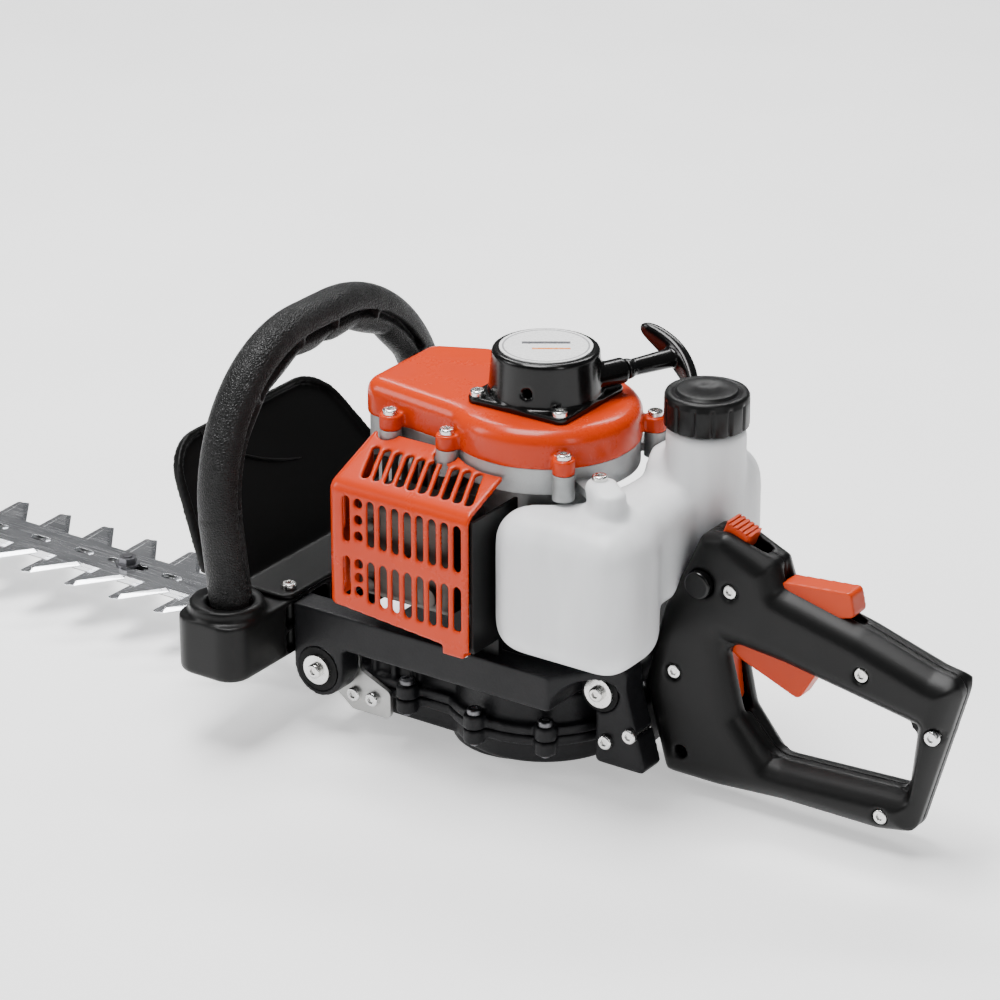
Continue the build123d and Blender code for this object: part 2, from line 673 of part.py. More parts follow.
def muffler_cover():
    shell = cover_solid(0, COVER_X0, COVER_X1)
    end_edges = shell.faces().sort_by(Axis.X)[0].edges()
    shell = fillet([e for e in end_edges if e.center().Y < COVER_BACK_Y - 1 and e.center().Z > COVER_Z0], 6)
    shell -= cover_solid(COVER_T, COVER_X0 + COVER_T, COVER_X1 + 1)
    shell -= block(COVER_X0 - 1, COVER_X1 + 1, COVER_Y - 1, COVER_BACK_Y + 1, COVER_Z0 - 2, COVER_Z0)
    below = [(COVER_X0 - 5, 80), (COVER_X1 + 5, 80), (COVER_X1 + 5, cover_floor(COVER_X1 + 5)),
             (COVER_X0 - 5, cover_floor(COVER_X0 - 5))]
    shell -= plate_xz(below, COVER_Y - 2, COVER_BACK_Y + 2)
    pitch = (COVER_X1 - COVER_X0 - 12) / SLOT_COUNT
    for i in range(SLOT_COUNT):
        x = COVER_X0 + 9 + pitch * (i + 0.5)
        for z0, z1 in SLOT_ROWS:
            z0 = max(z0, cover_floor(x) + 5)
            if i == 1:
                for z in (z0 + 4 + 4, (z0 + z1) / 2 + 3, z1 - 2):
                    shell -= bar_y(x, z, COVER_Y - 1, COVER_Y + 5, 2.9)
                continue
            slot = Pos(x, COVER_Y, (z0 + z1) / 2 + 2) * Rot(90, 0, 0) * Rot(0, 0, 90)
            shell -= slot * extrude(SlotOverall(z1 - z0 - 2, SLOT_W), 5, both=True)
    roof_slots = 10
    roof_slope = degrees(atan2(COVER_TOP_Z - COVER_FACE_Z1, COVER_BACK_Y - COVER_Y))
    roof_pitch = (COVER_X1 - COVER_X0 - 18) / roof_slots
    for i in range(roof_slots):
        x = COVER_X0 + 12 + roof_pitch * (i + 0.5)
        mid_y = (COVER_Y + COVER_BACK_Y) / 2 - 1
        mid_z = (COVER_FACE_Z1 + COVER_TOP_Z) / 2
        slot = Pos(x, mid_y, mid_z) * Rot(roof_slope, 0, 0) * Rot(0, 0, 90 + 18)
        shell -= slot * extrude(SlotOverall(27, 4.6), 5, both=True)
    for z0, z1 in SLOT_ROWS:
        for y in (COVER_Y + 13, COVER_Y + 22):
            slot = Pos(COVER_X0, y, (z0 + z1) / 2 + 2) * Rot(0, 90, 0)
            shell -= slot * extrude(SlotOverall(z1 - z0 - 4, 4.2), 5, both=True)
    shell -= Pos(0, 0, FAN_BASE_Z - 1) * extrude(fan_body(0.5), 20)
    for x, y in FAN_LUGS[:3]:
        shell -= post(x, y, FAN_BASE_Z - 1, FAN_COVER_Z, LUG_R + 0.8)
    lug = post(COVER_LUG[0], COVER_LUG[1], COVER_LUG_Z, COVER_LUG_Z + 3, 7)
    lug += block(COVER_LUG[0] - 7, COVER_LUG[0] + 7, COVER_Y + 1, COVER_LUG[1], COVER_LUG_Z,
            COVER_LUG_Z + 3)
    lug += block(COVER_LUG[0] - 7, COVER_LUG[0] + 7, COVER_Y, COVER_Y + COVER_T, COVER_LUG_Z,
            COVER_LUG_Z + 16)
    shell += lug
    shell -= post(COVER_LUG[0], COVER_LUG[1], 0, COVER_LUG_Z + 5, SCREW_R + SCREW_CLEAR)
    return shell


COVER_LUG = (-2.0, -80.0)
COVER_LUG_Z = 86.0


def heat_shield():
    """Black plate between the muffler cover and the tank, with a foot to the frame."""
    plate = block(COVER_X1, COVER_X1 + 2, COVER_Y + 3, CRANKCASE_R * -1 - 6, COVER_Z0 + 2,
            COVER_FACE_Z1 - 3)
    foot = block(COVER_LUG[0] - 9, COVER_X1 + 2, COVER_LUG[1] - 6, -58, COVER_LUG_Z + 3, COVER_LUG_Z + 6)
    leg = block(COVER_LUG[0] - 9, COVER_X1 + 2, -62, -58, ARM_Z1, COVER_LUG_Z + 6)
    shape = plate + foot + leg
    shape += block(COVER_X1, COVER_X1 + 2, COVER_LUG[1] - 6, -43, COVER_LUG_Z + 3, COVER_Z0 + 4)
    return shape - post(COVER_LUG[0], COVER_LUG[1], 0, COVER_LUG_Z + 8, SCREW_R)


def muffler():
    box = block(-76, -10, -80, -EXHAUST_Y - 4, 102, 162)
    box = fillet(box.edges(), 6)
    flange = block(-72, -48, -EXHAUST_Y - 5, -EXHAUST_Y, CYL_Z - 14, CYL_Z + 14)
    outlet = bar_y(-24, 114, -84, -70, 6)
    shape = box + flange + outlet
    for x, z in MUFFLER_SCREWS:
        shape += bar_y(x, z, -80.5, -78, 6)
        shape += bar_y(x, z, -83, -79, 3.5)
    return shape


MUFFLER_SCREWS = ((-64.0, 148.0), (-64.0, 112.0), (-40.0, 132.0))


# ---------------------------------------------------------------- intake side
def carburettor():
    body = block(-70, -34, INTAKE_Y, 62, CYL_Z - 18, CYL_Z + 18)
    body = fillet(body.edges().filter_by(Axis.Y), 4)
    body += post(-52, 49, CYL_Z + 17, CYL_Z + 24, 5)
    body -= bar_y(-57, CYL_Z, INTAKE_Y - 1, 63, 8)
    body += bar_x(PRIMER_Y, PRIMER_Z, -35, PRIMER_X + PRIMER_STEM, PRIMER_STEM_R)
    x, z = CHOKE_PIVOT
    body += block(-35, x + 6, 48, 56, z - 6, z + 6)
    return body - bar_y(x, z, 47, 57, CHOKE_SHAFT_R + FIT)


CHOKE_SHAFT_R = 3.0
PRIMER_X = -26.0
PRIMER_Y = 49.0
PRIMER_Z = 121.0
PRIMER_STEM_R = 4.0
PRIMER_STEM = 5.0
FILTER_X0 = -86.0
FILTER_X1 = -14.0
FILTER_Y0 = 62.0
FILTER_Y1 = 102.0
FILTER_Z0 = 94.0
FILTER_Z1 = 168.0


def air_filter_cover():
    body = block(FILTER_X0, FILTER_X1, FILTER_Y0, FILTER_Y1, FILTER_Z0, FILTER_Z1)
    outer = body.faces().sort_by(Axis.Y)[-1].edges() + body.edges().filter_by(Axis.Y)
    body = fillet(outer, 7)
    body -= block(FILTER_X0 + 3, FILTER_X1 - 3, FILTER_Y0 + 5, FILTER_Y1 - 3, FILTER_Z0 + 3, FILTER_Z1 - 3)
    body -= bar_y(-57, CYL_Z, FILTER_Y0 - 1, FILTER_Y0 + 6, 8)
    for i in range(6):
        z = FILTER_Z0 + 12 + 9 * i
        body -= block(FILTER_X0 - 1, FILTER_X0 + 4, FILTER_Y0 + 12, FILTER_Y1 - 10, z, z + 4)
    return body - bar_y(KNOB_X, CYL_Z, FILTER_Y1 - 4, FILTER_Y1 + 1, KNOB_SHAFT_R + FIT)


KNOB_X = -50.0
KNOB_SHAFT_R = 4.0


def air_filter_element():
    pad = block(FILTER_X0 + 4, FILTER_X1 - 4, FILTER_Y0 + 5, FILTER_Y1 - 12, FILTER_Z0 + 4, FILTER_Z1 - 4)
    return pad - bar_y(-57, CYL_Z, FILTER_Y0, FILTER_Y0 + 14, 8)


def air_filter_knob():
    knob = bar_y(KNOB_X, CYL_Z, FILTER_Y1 + GAP, FILTER_Y1 + 8, 11)
    for i in range(10):
        x = KNOB_X + 12 * cos(2 * pi * i / 10)
        z = CYL_Z + 12 * sin(2 * pi * i / 10)
        knob -= bar_y(x, z, FILTER_Y1, FILTER_Y1 + 9, 2.2)
    return knob + bar_y(KNOB_X, CYL_Z, FILTER_Y1 - 9, FILTER_Y1 + 1, KNOB_SHAFT_R)


PRIMER_TRAVEL = 3.0


def primer_bulb():
    room = PRIMER_X + PRIMER_STEM + PRIMER_TRAVEL + GAP
    bulb = bar_x(PRIMER_Y, PRIMER_Z, PRIMER_X, room + 3, 8)
    bulb = fillet(bulb.edges().group_by(Axis.X)[-1], 5)
    return bulb - bar_x(PRIMER_Y, PRIMER_Z, PRIMER_X - 1, room, PRIMER_STEM_R + GAP)


CHOKE_PIVOT = (-28.0, 140.0)
CHOKE_REACH = 30.0
CHOKE_FINGER = 6.0


def choke_lever():
    x, z = CHOKE_PIVOT
    lever = bar_y(x, z, 49, 62 - GAP, CHOKE_SHAFT_R)
    lever += block(x - 3, x + CHOKE_REACH, 57, 60, z - 3, z + 3)
    lever += block(x + CHOKE_REACH - CHOKE_FINGER, x + CHOKE_REACH, 57, 74, z - 3, z + 3)
    return lever


# ---------------------------------------------------------------- starter
STARTER_Z = FAN_COVER_Z + FAN_COVER_H
STARTER_FLANGE_T = 4.0
PULLEY_Z = STARTER_Z + 8
ROPE_Z = PULLEY_Z + 5
ROPE_OUT = 40.0       # distance from the axis to the mouth of the rope outlet
ROPE_DIR = (cos(radians(GRIP_ANGLE)), sin(radians(GRIP_ANGLE)))
ROPE_SIDE = PULLEY_R - 4.0   # the rope leaves the pulley at this radius


GRIP_STEM = 35.0      # length of the pull grip's stem
GRIP_STEM_R = 6.5
GRIP_HALF = 28.0      # half the width of its cross bar
GRIP_BOW = 4.0
GRIP_ROLL = 26.0
ROPE_IN_GRIP = 18.0


def rope_frame():
    """Placement with +X along the rope, at the point where it leaves the pulley."""
    nx, ny = ROPE_DIR[1], -ROPE_DIR[0]
    return Pos(nx * ROPE_SIDE, ny * ROPE_SIDE, ROPE_Z) * Rot(0, 0, GRIP_ANGLE)


def starter_housing():
    flange = Pos(0, 0, STARTER_Z) * extrude(RectangleRounded(2 * STARTER_HALF, 2 * STARTER_HALF,
            6), STARTER_FLANGE_T)
    drum = Solid.make_cone(STARTER_R + 2.5, STARTER_R, STARTER_H, Plane.XY.offset(STARTER_Z))
    drum = fillet(drum.edges().sort_by(Axis.Z)[-1], 2)
    spout = rope_frame() * Rot(0, 90, 0) * Cylinder(7.5, ROPE_OUT, align=(Align.CENTER,
            Align.CENTER, Align.MIN))
    body = flange + drum + spout
    body -= post(0, 0, STARTER_Z - 1, STARTER_Z + STARTER_H - STARTER_WALL, STARTER_R - STARTER_WALL)
    body -= rope_frame() * Rot(0, 90, 0) * Cylinder(ROPE_R + 1, 2 * ROPE_OUT)
    body -= rope_frame() * Pos(ROPE_OUT, 0, 0) * Rot(0, 90, 0) * Cylinder(4.6, 10)
    axle = post(0, 0, PULLEY_Z, STARTER_Z + STARTER_H - 1, 5)
    body += axle
    for x, y in STARTER_SCREWS:
        body -= post(x, y, STARTER_Z - 1, STARTER_Z + STARTER_FLANGE_T + 1, SCREW_R + SCREW_CLEAR)
    return body


STARTER_SCREWS = [(-27.5, -27.5), (27.5, -27.5), (-27.5, 27.5)]


def starter_badge():
    return post(0, 0, STARTER_Z + STARTER_H, STARTER_Z + STARTER_H + 0.6, 26.3)


def starter_pulley():
    pulley = post(0, 0, PULLEY_Z, PULLEY_Z + 10, PULLEY_R)
    groove = ring(0, 0, PULLEY_Z + 2, PULLEY_Z + 8, PULLEY_R + 1, PULLEY_R - 7)
    pulley -= groove
    return pulley - post(0, 0, PULLEY_Z - 1, PULLEY_Z + 11, 5 + FIT)


def recoil_spring():
    """Flat spiral spring above the pulley, drawn as nested turns joined by steps."""
    turns = 5
    z0 = PULLEY_Z + 10 + 0.5
    z1 = STARTER_Z + STARTER_H - STARTER_WALL
    spring = ring(0, 0, z0, z1, 9.0, 8.2)
    for i in range(1, turns):
        r = 9.0 + 3.0 * i
        spring += ring(0, 0, z0, z1, r, r - 0.8)
        spring += Rot(0, 0, 72 * i) * block(r - 3.4, r - 0.4, -0.4, 0.4, z0, z1)
    spring += block(5, 8.6, -0.4, 0.4, z0, z1)
    spring += Rot(0, 0, 30) * block(9.0 + 3.0 * (turns - 1) - 0.4, STARTER_R - STARTER_WALL, -0.4,
            0.4, z0, z1)
    return spring


def starter_rope():
    """Straight stretch of rope that the first pull draws out of the housing."""
    start = ROPE_STROKE - 46.0
    rope = rope_frame() * Pos(start, 0, 0) * Rot(0, 90, 0)
    return rope * Cylinder(ROPE_R, ROPE_OUT + ROPE_IN_GRIP - start, align=(Align.CENTER,
            Align.CENTER, Align.MIN))


def starter_grip():
    """T-shaped pull grip: a tapered stem and a curved cross bar."""
    stem = Solid.make_cone(GRIP_STEM_R - 1.5, GRIP_STEM_R, GRIP_STEM, Plane.YZ)
    stem = rope_frame() * Pos(ROPE_OUT + 2, 0, 0) * stem
    bow = ThreePointArc((0, -GRIP_HALF), (GRIP_BOW, 0), (0, GRIP_HALF))
    arm = sweep(Plane(origin=bow @ 0, z_dir=bow % 0) * RectangleRounded(14, 10, 4.5), bow)
    bar = rope_frame() * Pos(ROPE_OUT + GRIP_STEM, 0, 0) * Rot(GRIP_ROLL, 0, 0) * arm
    hole = rope_frame() * Rot(0, 90, 0) * Cylinder(ROPE_R, 2 * (ROPE_OUT + ROPE_IN_GRIP))
    return stem + bar - hole


# ---------------------------------------------------------------- fuel
TANK_X0 = 11.0
TANK_X1 = 101.0
TANK_Y0 = -80.0
TANK_Z0 = 87.0
TANK_Z1 = 172.0
TANK_WALL = 2.5
NECK_X = 90.0
NECK_Y = 26.0
NECK_R = 20.0
NECK_Z = 208.0
CAP_R = 24.0
CAP_H = 20.0
CAP_Z = NECK_Z + GAP


def tank_lobe(x0, x1, y0, y1, z0, z1, corner, rim):
    lobe = block(x0, x1, y0, y1, z0, z1)
    lobe = fillet(lobe.edges().filter_by(Axis.Z), corner)
    return fillet(lobe.faces().sort_by(Axis.Z)[-1].edges() + lobe.faces().sort_by(Axis.Z)[0].edges(), rim)


def tank_form(inset):
    """Outside of the tank for inset 0, its fuel space for inset equal to the wall."""
    i = inset
    near = tank_lobe(TANK_X0 + i, TANK_X1 - i, TANK_Y0 + i, -22 - i, TANK_Z0 + i, TANK_Z1 - i,
            20 - i, 12 - i)
    bridge = tank_lobe(44 + i, 86 - i, -40 + i, 50 - i, 112 + i, 174 - i, 10 - i, 6 - i)
    far = tank_lobe(44 + i, 111 - i, 18.5 + i, 66 - i, 112 + i, 177 - i, 16 - i, 9 - i)
    crown = tank_lobe(60 + i, 113 - i, 3 + i, 50 - i, 167 + i, 190 - i, 20 - i, 8 - i)
    form = near + bridge + far + crown
    form -= post(0, 0, 0, 168 + i, CRANKCASE_R + 8 + i)
    form -= post(0, 0, 166 - i, 300, FAN_R + 5 + i)
    for x, y in FAN_LUGS[2:4]:
        form -= post(x, y, FAN_BASE_Z - 1 - i, 300, LUG_R + 1 + i)
    for angle in TANK_LUG_ANGLES:
        z0 = TANK_LUG_Z - 1 - i
        form -= Rot(0, 0, angle) * block(0, TANK_LUG_R + 8 + i, -9 - i, 9 + i, z0, z0 + 40)
    return form


def fuel_tank():
    form = tank_form(0) + post(NECK_X, NECK_Y, 184, NECK_Z, NECK_R + 3)
    for angle in TANK_LUG_ANGLES:
        z = TANK_LUG_Z + TANK_LUG_T
        ear = post(TANK_LUG_R, 0, z, z + 6, 7.5)
        ear += block(TANK_LUG_R, TANK_LUG_R + 16, -7, 7, z, z + 6)
        ear += block(TANK_LUG_R + 8.5, TANK_LUG_R + 16, -7, 7, 160, z + 6)
        form += Rot(0, 0, angle) * ear
    for x, y in FAN_LUGS[2:4]:
        form -= post(x, y, FAN_BASE_Z - 1, 300, LUG_R + 0.6)
    form -= tank_form(TANK_WALL)
    form -= post(NECK_X, NECK_Y, 180, NECK_Z + 1, NECK_R)
    for angle in TANK_LUG_ANGLES:
        form -= Rot(0, 0, angle) * post(TANK_LUG_R, 0, TANK_LUG_Z, TANK_LUG_Z + 20, SCREW_R + SCREW_CLEAR)
    stud = post(TANK_STUD[0], TANK_STUD[1], ARM_Z1, TANK_Z0 + 1, 5)
    return form + stud


TANK_STUD = (44.0, -52.0)


def fuel_cap():
    cap = post(NECK_X, NECK_Y, CAP_Z, CAP_Z + CAP_H, CAP_R)
    cap = fillet(cap.edges().sort_by(Axis.Z)[-1], 2)
    cap += post(NECK_X, NECK_Y, CAP_Z + CAP_H, CAP_Z + CAP_H + 1.4, CAP_R - 6)
    flats = 14
    for i in range(flats):
        x = NECK_X + (CAP_R + 1.2) * cos(2 * pi * i / flats)
        y = NECK_Y + (CAP_R + 1.2) * sin(2 * pi * i / flats)
        cap -= post(x, y, CAP_Z - 1, CAP_Z + CAP_H - 4, 2.4)
    return cap + post(NECK_X, NECK_Y, NECK_Z - 12, CAP_Z, NECK_R - GAP)


# ---------------------------------------------------------------- frame and handles
ARM_Y0 = 51.0
ARM_Y1 = 69.0
ARM_Z0 = 56.0
ARM_Z1 = 78.0
FRONT_AV_X = -112.0
FRONT_AV_Z = 40.0
FRONT_AV_R = 13.5
EYE_R = 17.0
AV_BOLT_X = (-100.0, -87.0)
AV_BOLT_Z = 19.5
CHEEK_X0 = 44.0
CHEEK_X1 = 90.0
CHEEK_Y1 = 36.0
CHEEK_Z0 = 15.0
CHEEK_Z1 = 76.0


def frame_arm(side):
    """One side of the frame: front eye, arm and rear cheek."""
    y0, y1 = sorted((side * ARM_Y0, side * ARM_Y1))
    arm = block(BRACKET_X1, 30, y0, y1, ARM_Z0, ARM_Z1)
    arm += bar_y(FRONT_AV_X, FRONT_AV_Z, y0, y1, EYE_R)
    arm += block(FRONT_AV_X - EYE_R, FRONT_AV_X + EYE_R, y0, y1, FRONT_AV_Z, ARM_Z0 + 1)
    plan = make_face(Polyline((20, side * ARM_Y0), (20, side * ARM_Y1), (48, side * ARM_Y1), (74,
            side * CHEEK_Y1),
                              (74, side * SHELL_HALF), (CHEEK_X0 + 6, side * 24), (CHEEK_X0,
                                  side * 44), close=True))
    arm += Pos(0, 0, ARM_Z0) * extrude(plan, ARM_Z1 - ARM_Z0)
    cy0, cy1 = sorted((side * SHELL_HALF, side * CHEEK_Y1))
    cheek = rounded(
        [(CHEEK_X0 + 14, CHEEK_Z0), (CHEEK_X1 + 2, CHEEK_Z0), (CHEEK_X1 - 12, 64), (CHEEK_X1 - 12,
                CHEEK_Z1 + 2),
         (CHEEK_X0 + 4, CHEEK_Z1 + 2), (CHEEK_X0 + 4, 58), (CHEEK_X0 + 14, 50)],
        [3, 3, 4, 4, 4, 4, 3],
    )
    arm += sketch_xz(cheek, cy0, cy1)
    arm -= bar_y(FRONT_AV_X, FRONT_AV_Z, y0 - 1, y1 + 1, FRONT_AV_R)
    arm -= bar_y(REAR_AV_X, REAR_AV_Z, cy0 - 1, cy1 + 1, REAR_AV_R)
    arm -= bar_y(REAR_AV_X, REAR_AV_Z, side * CHEEK_Y1, side * (ARM_Y1 + 1), WASHER_R + 4)
    for x, z in CHEEK_SCREWS:
        arm -= bar_y(x, z, cy0 - 1, cy1 + 1, SCREW_R + SCREW_CLEAR)
    return arm


CHEEK_SCREWS = ((66.0, 30.0), (82.0, 38.0))


def main_frame():
    web = block(CASE_R + 1, 74, -SHELL_HALF, SHELL_HALF, CHEEK_Z0, 44)
    frame = frame_arm(-1) + frame_arm(1) + web
    frame -= post(0, 0, CHEEK_Z0 - 1, PART_Z + FLANGE_T + 4, CASE_R + CASE_BOSS_R + GAP)
    return frame


def av_rubbers():
    rubbers = []
    for side in (-1, 1):
        front = bar_y(FRONT_AV_X, FRONT_AV_Z, side * (CASE_NECK_HALF + AV_PLATE_T), side * ARM_Y1,
                FRONT_AV_R)
        rubbers.append(front - bar_y(FRONT_AV_X, FRONT_AV_Z, side * 40, side * 80, SCREW_R))
        rear = bar_y(REAR_AV_X, REAR_AV_Z, side * EAR_HALF, side * CHEEK_Y1, REAR_AV_R)
        rubbers.append(rear - bar_y(REAR_AV_X, REAR_AV_Z, side * 10, side * 80, SCREW_R))
    return rubbers


AV_PLATE_T = 3.0
WASHER_R = 9.0
WASHER_T = 2.0


def av_screws():
    """Each mount's screw with its broad washer, the plates' bolts, and the cheek screws."""
    screws = []
    for side in (-1, 1):
        for x, z, y, length in (
            (FRONT_AV_X, FRONT_AV_Z, ARM_Y1, ARM_Y1 - CASE_NECK_HALF - AV_PLATE_T + 2.5),
            (REAR_AV_X, REAR_AV_Z, CHEEK_Y1, CHEEK_Y1 - EAR_HALF + 10),
        ):
            screw = side_screw(x, z, side * (y + WASHER_T), length + WASHER_T, side)
            screw += bar_y(x, z, side * y, side * (y + WASHER_T), WASHER_R)
            screws.append(screw)
        for x in AV_BOLT_X:
            screws.append(side_screw(x, AV_BOLT_Z, side * (CASE_NECK_HALF + AV_PLATE_T),
                AV_PLATE_T + 12, side))
        for x, z in CHEEK_SCREWS:
            length = CHEEK_Y1 - SHELL_HALF - 1 if x > 74 else CHEEK_Y1 - SHELL_HALF - 2
            screws.append(side_screw(x, z, side * CHEEK_Y1, length, side))
    return screws


def av_plates():
    """Steel side plates from the gear case to the front rubber mounts."""
    plates = []
    x0 = FRONT_AV_X
    z0 = FRONT_AV_Z
    outline = rounded(
        [(x0 - 14, z0 + 10), (x0 - 14, z0 - 12), (AV_BOLT_X[0] - 2, 9), (AV_BOLT_X[1] + 12, 9),
         (AV_BOLT_X[1] + 12, 26), (x0 + 15, z0 - 4), (x0 + 15, z0 + 10)],
        [8, 8, 5, 4, 4, 5, 8],
    )
    for side in (-1, 1):
        y0, y1 = sorted((side * CASE_NECK_HALF, side * (CASE_NECK_HALF + AV_PLATE_T)))
        plate = sketch_xz(outline, y0, y1)
        plate -= bar_y(x0, z0, y0 - 1, y1 + 1, SCREW_R)
        for x in AV_BOLT_X:
            plate -= bar_y(x, AV_BOLT_Z, y0 - 1, y1 + 1, SCREW_R)
        plates.append(plate)
    return plates


def handle_bracket():
    """Cross channel under the front handle, with a round socket at each end."""
    centre_x = (BRACKET_X0 + BRACKET_X1) / 2
    outline = RectangleRounded(BRACKET_X1 - BRACKET_X0, 2 * (TUBE_HALF + SOCKET_R), BRACKET_CORNER)
    body = Pos(centre_x, 0, BRACKET_Z0) * extrude(outline, BRACKET_Z1 - BRACKET_Z0)
    body = fillet(body.faces().sort_by(Axis.Z)[0].edges(), BRACKET_EDGE)
    for side in (-1, 1):
        body += post(centre_x, side * TUBE_HALF, BRACKET_Z1 - 1, SOCKET_Z1, SOCKET_R - 2)
    pockets = 7
    width = (2 * TUBE_HALF - 50) / pockets
    for i in range(pockets):
        y = -TUBE_HALF + 25 + width * i
        for z0, z1 in ((BRACKET_Z0 + 3, 60.5), (63.5, BRACKET_Z1 - 3)):
            body -= block(BRACKET_X1 - 12, BRACKET_X1 + 1, y + 1.5, y + width - 1.5, z0, z1)
    for x, y in GUARD_SCREWS:
        for side in (-1, 1):
            body += post(x, side * y, BRACKET_Z0 + 4, BRACKET_Z1, 5)
            body -= post(x, side * y, BRACKET_Z0 + 10, BRACKET_Z1 + 1, SCREW_R)
    return body - front_handle_tube(FIT)


GUARD_SCREWS = ((-137.0, 62.0),)


def front_handle_tube(grow=0.0):
    points = [(-TUBE_HALF, TUBE_FOOT_Z), (-TUBE_TOP_HALF, TUBE_TOP_Z), (TUBE_TOP_HALF, TUBE_TOP_Z),
            (TUBE_HALF, TUBE_FOOT_Z)]
    tilt = Plane(origin=(TUBE_X + TUBE_LEAN * 86, 0, 0), x_dir=(0, 1, 0), z_dir=(1, 0, TUBE_LEAN))
    path = tilt * FilletPolyline(*points, radius=88)
    start = Plane(origin=path @ 0, z_dir=path % 0)
    return sweep(start * Circle(TUBE_R + grow), path)


def front_handle():
    return front_handle_tube()


def front_guard():
    """Shield that leans forward from the bracket, with a rear-facing rim and a screwed foot."""
    height = (GUARD_TOP_Z - BRACKET_Z1) * hypot(1, GUARD_LEAN)
    outline = rounded([(-102, 0), (-72, height), (72, height), (102, 0)], [6, 34, 34, 6])
    inner = rounded([(-98, -4), (-69, height - 3.5), (69, height - 3.5), (98, -4)], [6, 31, 31, 6])
    lean = Plane(origin=(GUARD_X, 0, BRACKET_Z1), x_dir=(0, 1, 0), z_dir=(1, 0, GUARD_LEAN))
    shield = lean * extrude(outline, 6)
    room = lean * Pos(0, 0, GUARD_T) * extrude(inner, 8)
    shield -= room
    foot = block(GUARD_X - 2, BRACKET_X1, -74, 74, BRACKET_Z1, BRACKET_Z1 + GUARD_T)
    foot = fillet(foot.edges().filter_by(Axis.Z).group_by(Axis.X)[-1], 8)
    shield += foot
    shield -= block(-220, -100, -120, 120, BRACKET_Z1 - 20, BRACKET_Z1)
    for side in (-1, 1):
        shield -= post((BRACKET_X0 + BRACKET_X1) / 2, side * TUBE_HALF, BRACKET_Z1 - 9,
                SOCKET_Z1 + 8, SOCKET_R)
    for x, y in GUARD_SCREWS:
        for side in (-1, 1):
            shield -= post(x, side * y, BRACKET_Z1 - 1, BRACKET_Z1 + GUARD_T + 1, SCREW_R + SCREW_CLEAR)
    return shield


# ---------------------------------------------------------------- rear handle
HANDLE_OUTER = [
    (91, 9), (76, 62), (88, 112), (104, 145), (111, 161), (126, 164), (157, 153), (162, 139.5),
        (212, 127.5),
    (256, 114), (275, 111), (248, 13), (226, 9),
]
HANDLE_OUTER_R = [6, 20, 30, 20, 8, 10, 5, 6, 40, 30, 9, 10, 30]
HANDLE_OPENING = [(127, 100), (247, 79), (243, 38), (158, 34), (138, 56)]
HANDLE_OPENING_R = [7, 9, 8, 16, 16]
SHELL_SCREWS = [(132.0, 132.0), (97.0, 74.0), (216.0, 104.0), (260.0, 78.0), (231.0, 22.0)]
HANG_HOLE = (103.0, 26.0)
HANG_HOLE_R = 4.0
TRIGGER_PIVOT = (134.0, 113.0)
LOCKOUT_PIVOT = (165.0, 128.0)
PIN_R = 2.5
TRIGGER_HALF = 6.0
LOCKOUT_HALF = 7.0
BUTTON = (114.0, 133.0)
BUTTON_R = 8.0
SWITCH_ORIGIN = (133.0, 160.6)
SWITCH_TILT = 21.0


def handle_sketch(shrink=0.0):
    outer = rounded(HANDLE_OUTER, HANDLE_OUTER_R)
    opening = rounded(HANDLE_OPENING, HANDLE_OPENING_R)
    if shrink:
        outer = offset(outer, -shrink)
        opening = offset(opening, shrink)
    return outer - opening


def switch_spot():
    return Pos(SWITCH_ORIGIN[0], 0, SWITCH_ORIGIN[1]) * Rot(0, SWITCH_TILT, 0)


def rear_handle_shell(side):
    y0, y1 = sorted((0, side * SHELL_HALF))
    shell = sketch_xz(handle_sketch(), y0, y1)
    far = shell.faces().sort_by(Axis.Y)[0 if side < 0 else -1]
    shell = fillet(far.edges(), SHELL_EDGE_R)
    iy0, iy1 = sorted((-side * 1, side * (SHELL_HALF - SHELL_WALL)))
    shell -= sketch_xz(handle_sketch(SHELL_WALL + 1.5), iy0, iy1)
    for x, z in SHELL_SCREWS:
        shell += bar_y(x, z, 0, side * (SHELL_HALF - 1), 5.5)
    for x, z in (TRIGGER_PIVOT, LOCKOUT_PIVOT):
        half = TRIGGER_HALF if z == TRIGGER_PIVOT[1] else LOCKOUT_HALF
        shell += bar_y(x, z, side * (half + GAP), side * (SHELL_HALF - 1), 5)
        shell -= bar_y(x, z, side * 1, side * (SHELL_HALF - 4), PIN_R)
    slot_y0, slot_y1 = sorted((-side * 1, side * (TRIGGER_HALF + GAP)))
    shell -= block(116, 188, slot_y0, slot_y1, 55, 112)
    top_y0, top_y1 = sorted((-side * 1, side * (LOCKOUT_HALF + GAP)))
    shell -= block(158, 208, top_y0, top_y1, 124, 160)
    switch_half = 7.0 + GAP
    shell -= switch_spot() * block(-16, 16, -switch_half, switch_half, -5, 20)
    for x, z in SHELL_SCREWS:
        if side < 0:
            shell -= bar_y(x, z, -SHELL_HALF - 1, -SHELL_HALF + 4, HEAD_R + 0.6)
            shell -= bar_y(x, z, -SHELL_HALF + 3, 1, SCREW_R + SCREW_CLEAR)
        else:
            shell -= bar_y(x, z, -1, SHELL_HALF - 4, SCREW_R)
    shell += bar_y(HANG_HOLE[0], HANG_HOLE[1], 0, side * (SHELL_HALF - 1), HANG_HOLE_R + 2.5)
    shell -= bar_y(HANG_HOLE[0], HANG_HOLE[1], -side, side * (SHELL_HALF + 1), HANG_HOLE_R)
    if side < 0:
        shell -= bar_y(BUTTON[0], BUTTON[1], -SHELL_HALF - 1, -SHELL_HALF + SHELL_WALL + 1, BUTTON_R + GAP)
    return shell


SHELL_EDGE_R = 5.0


def rear_handle_screws():
    return [side_screw(x, z, -SHELL_HALF + 4, 24, -1) for x, z in SHELL_SCREWS]


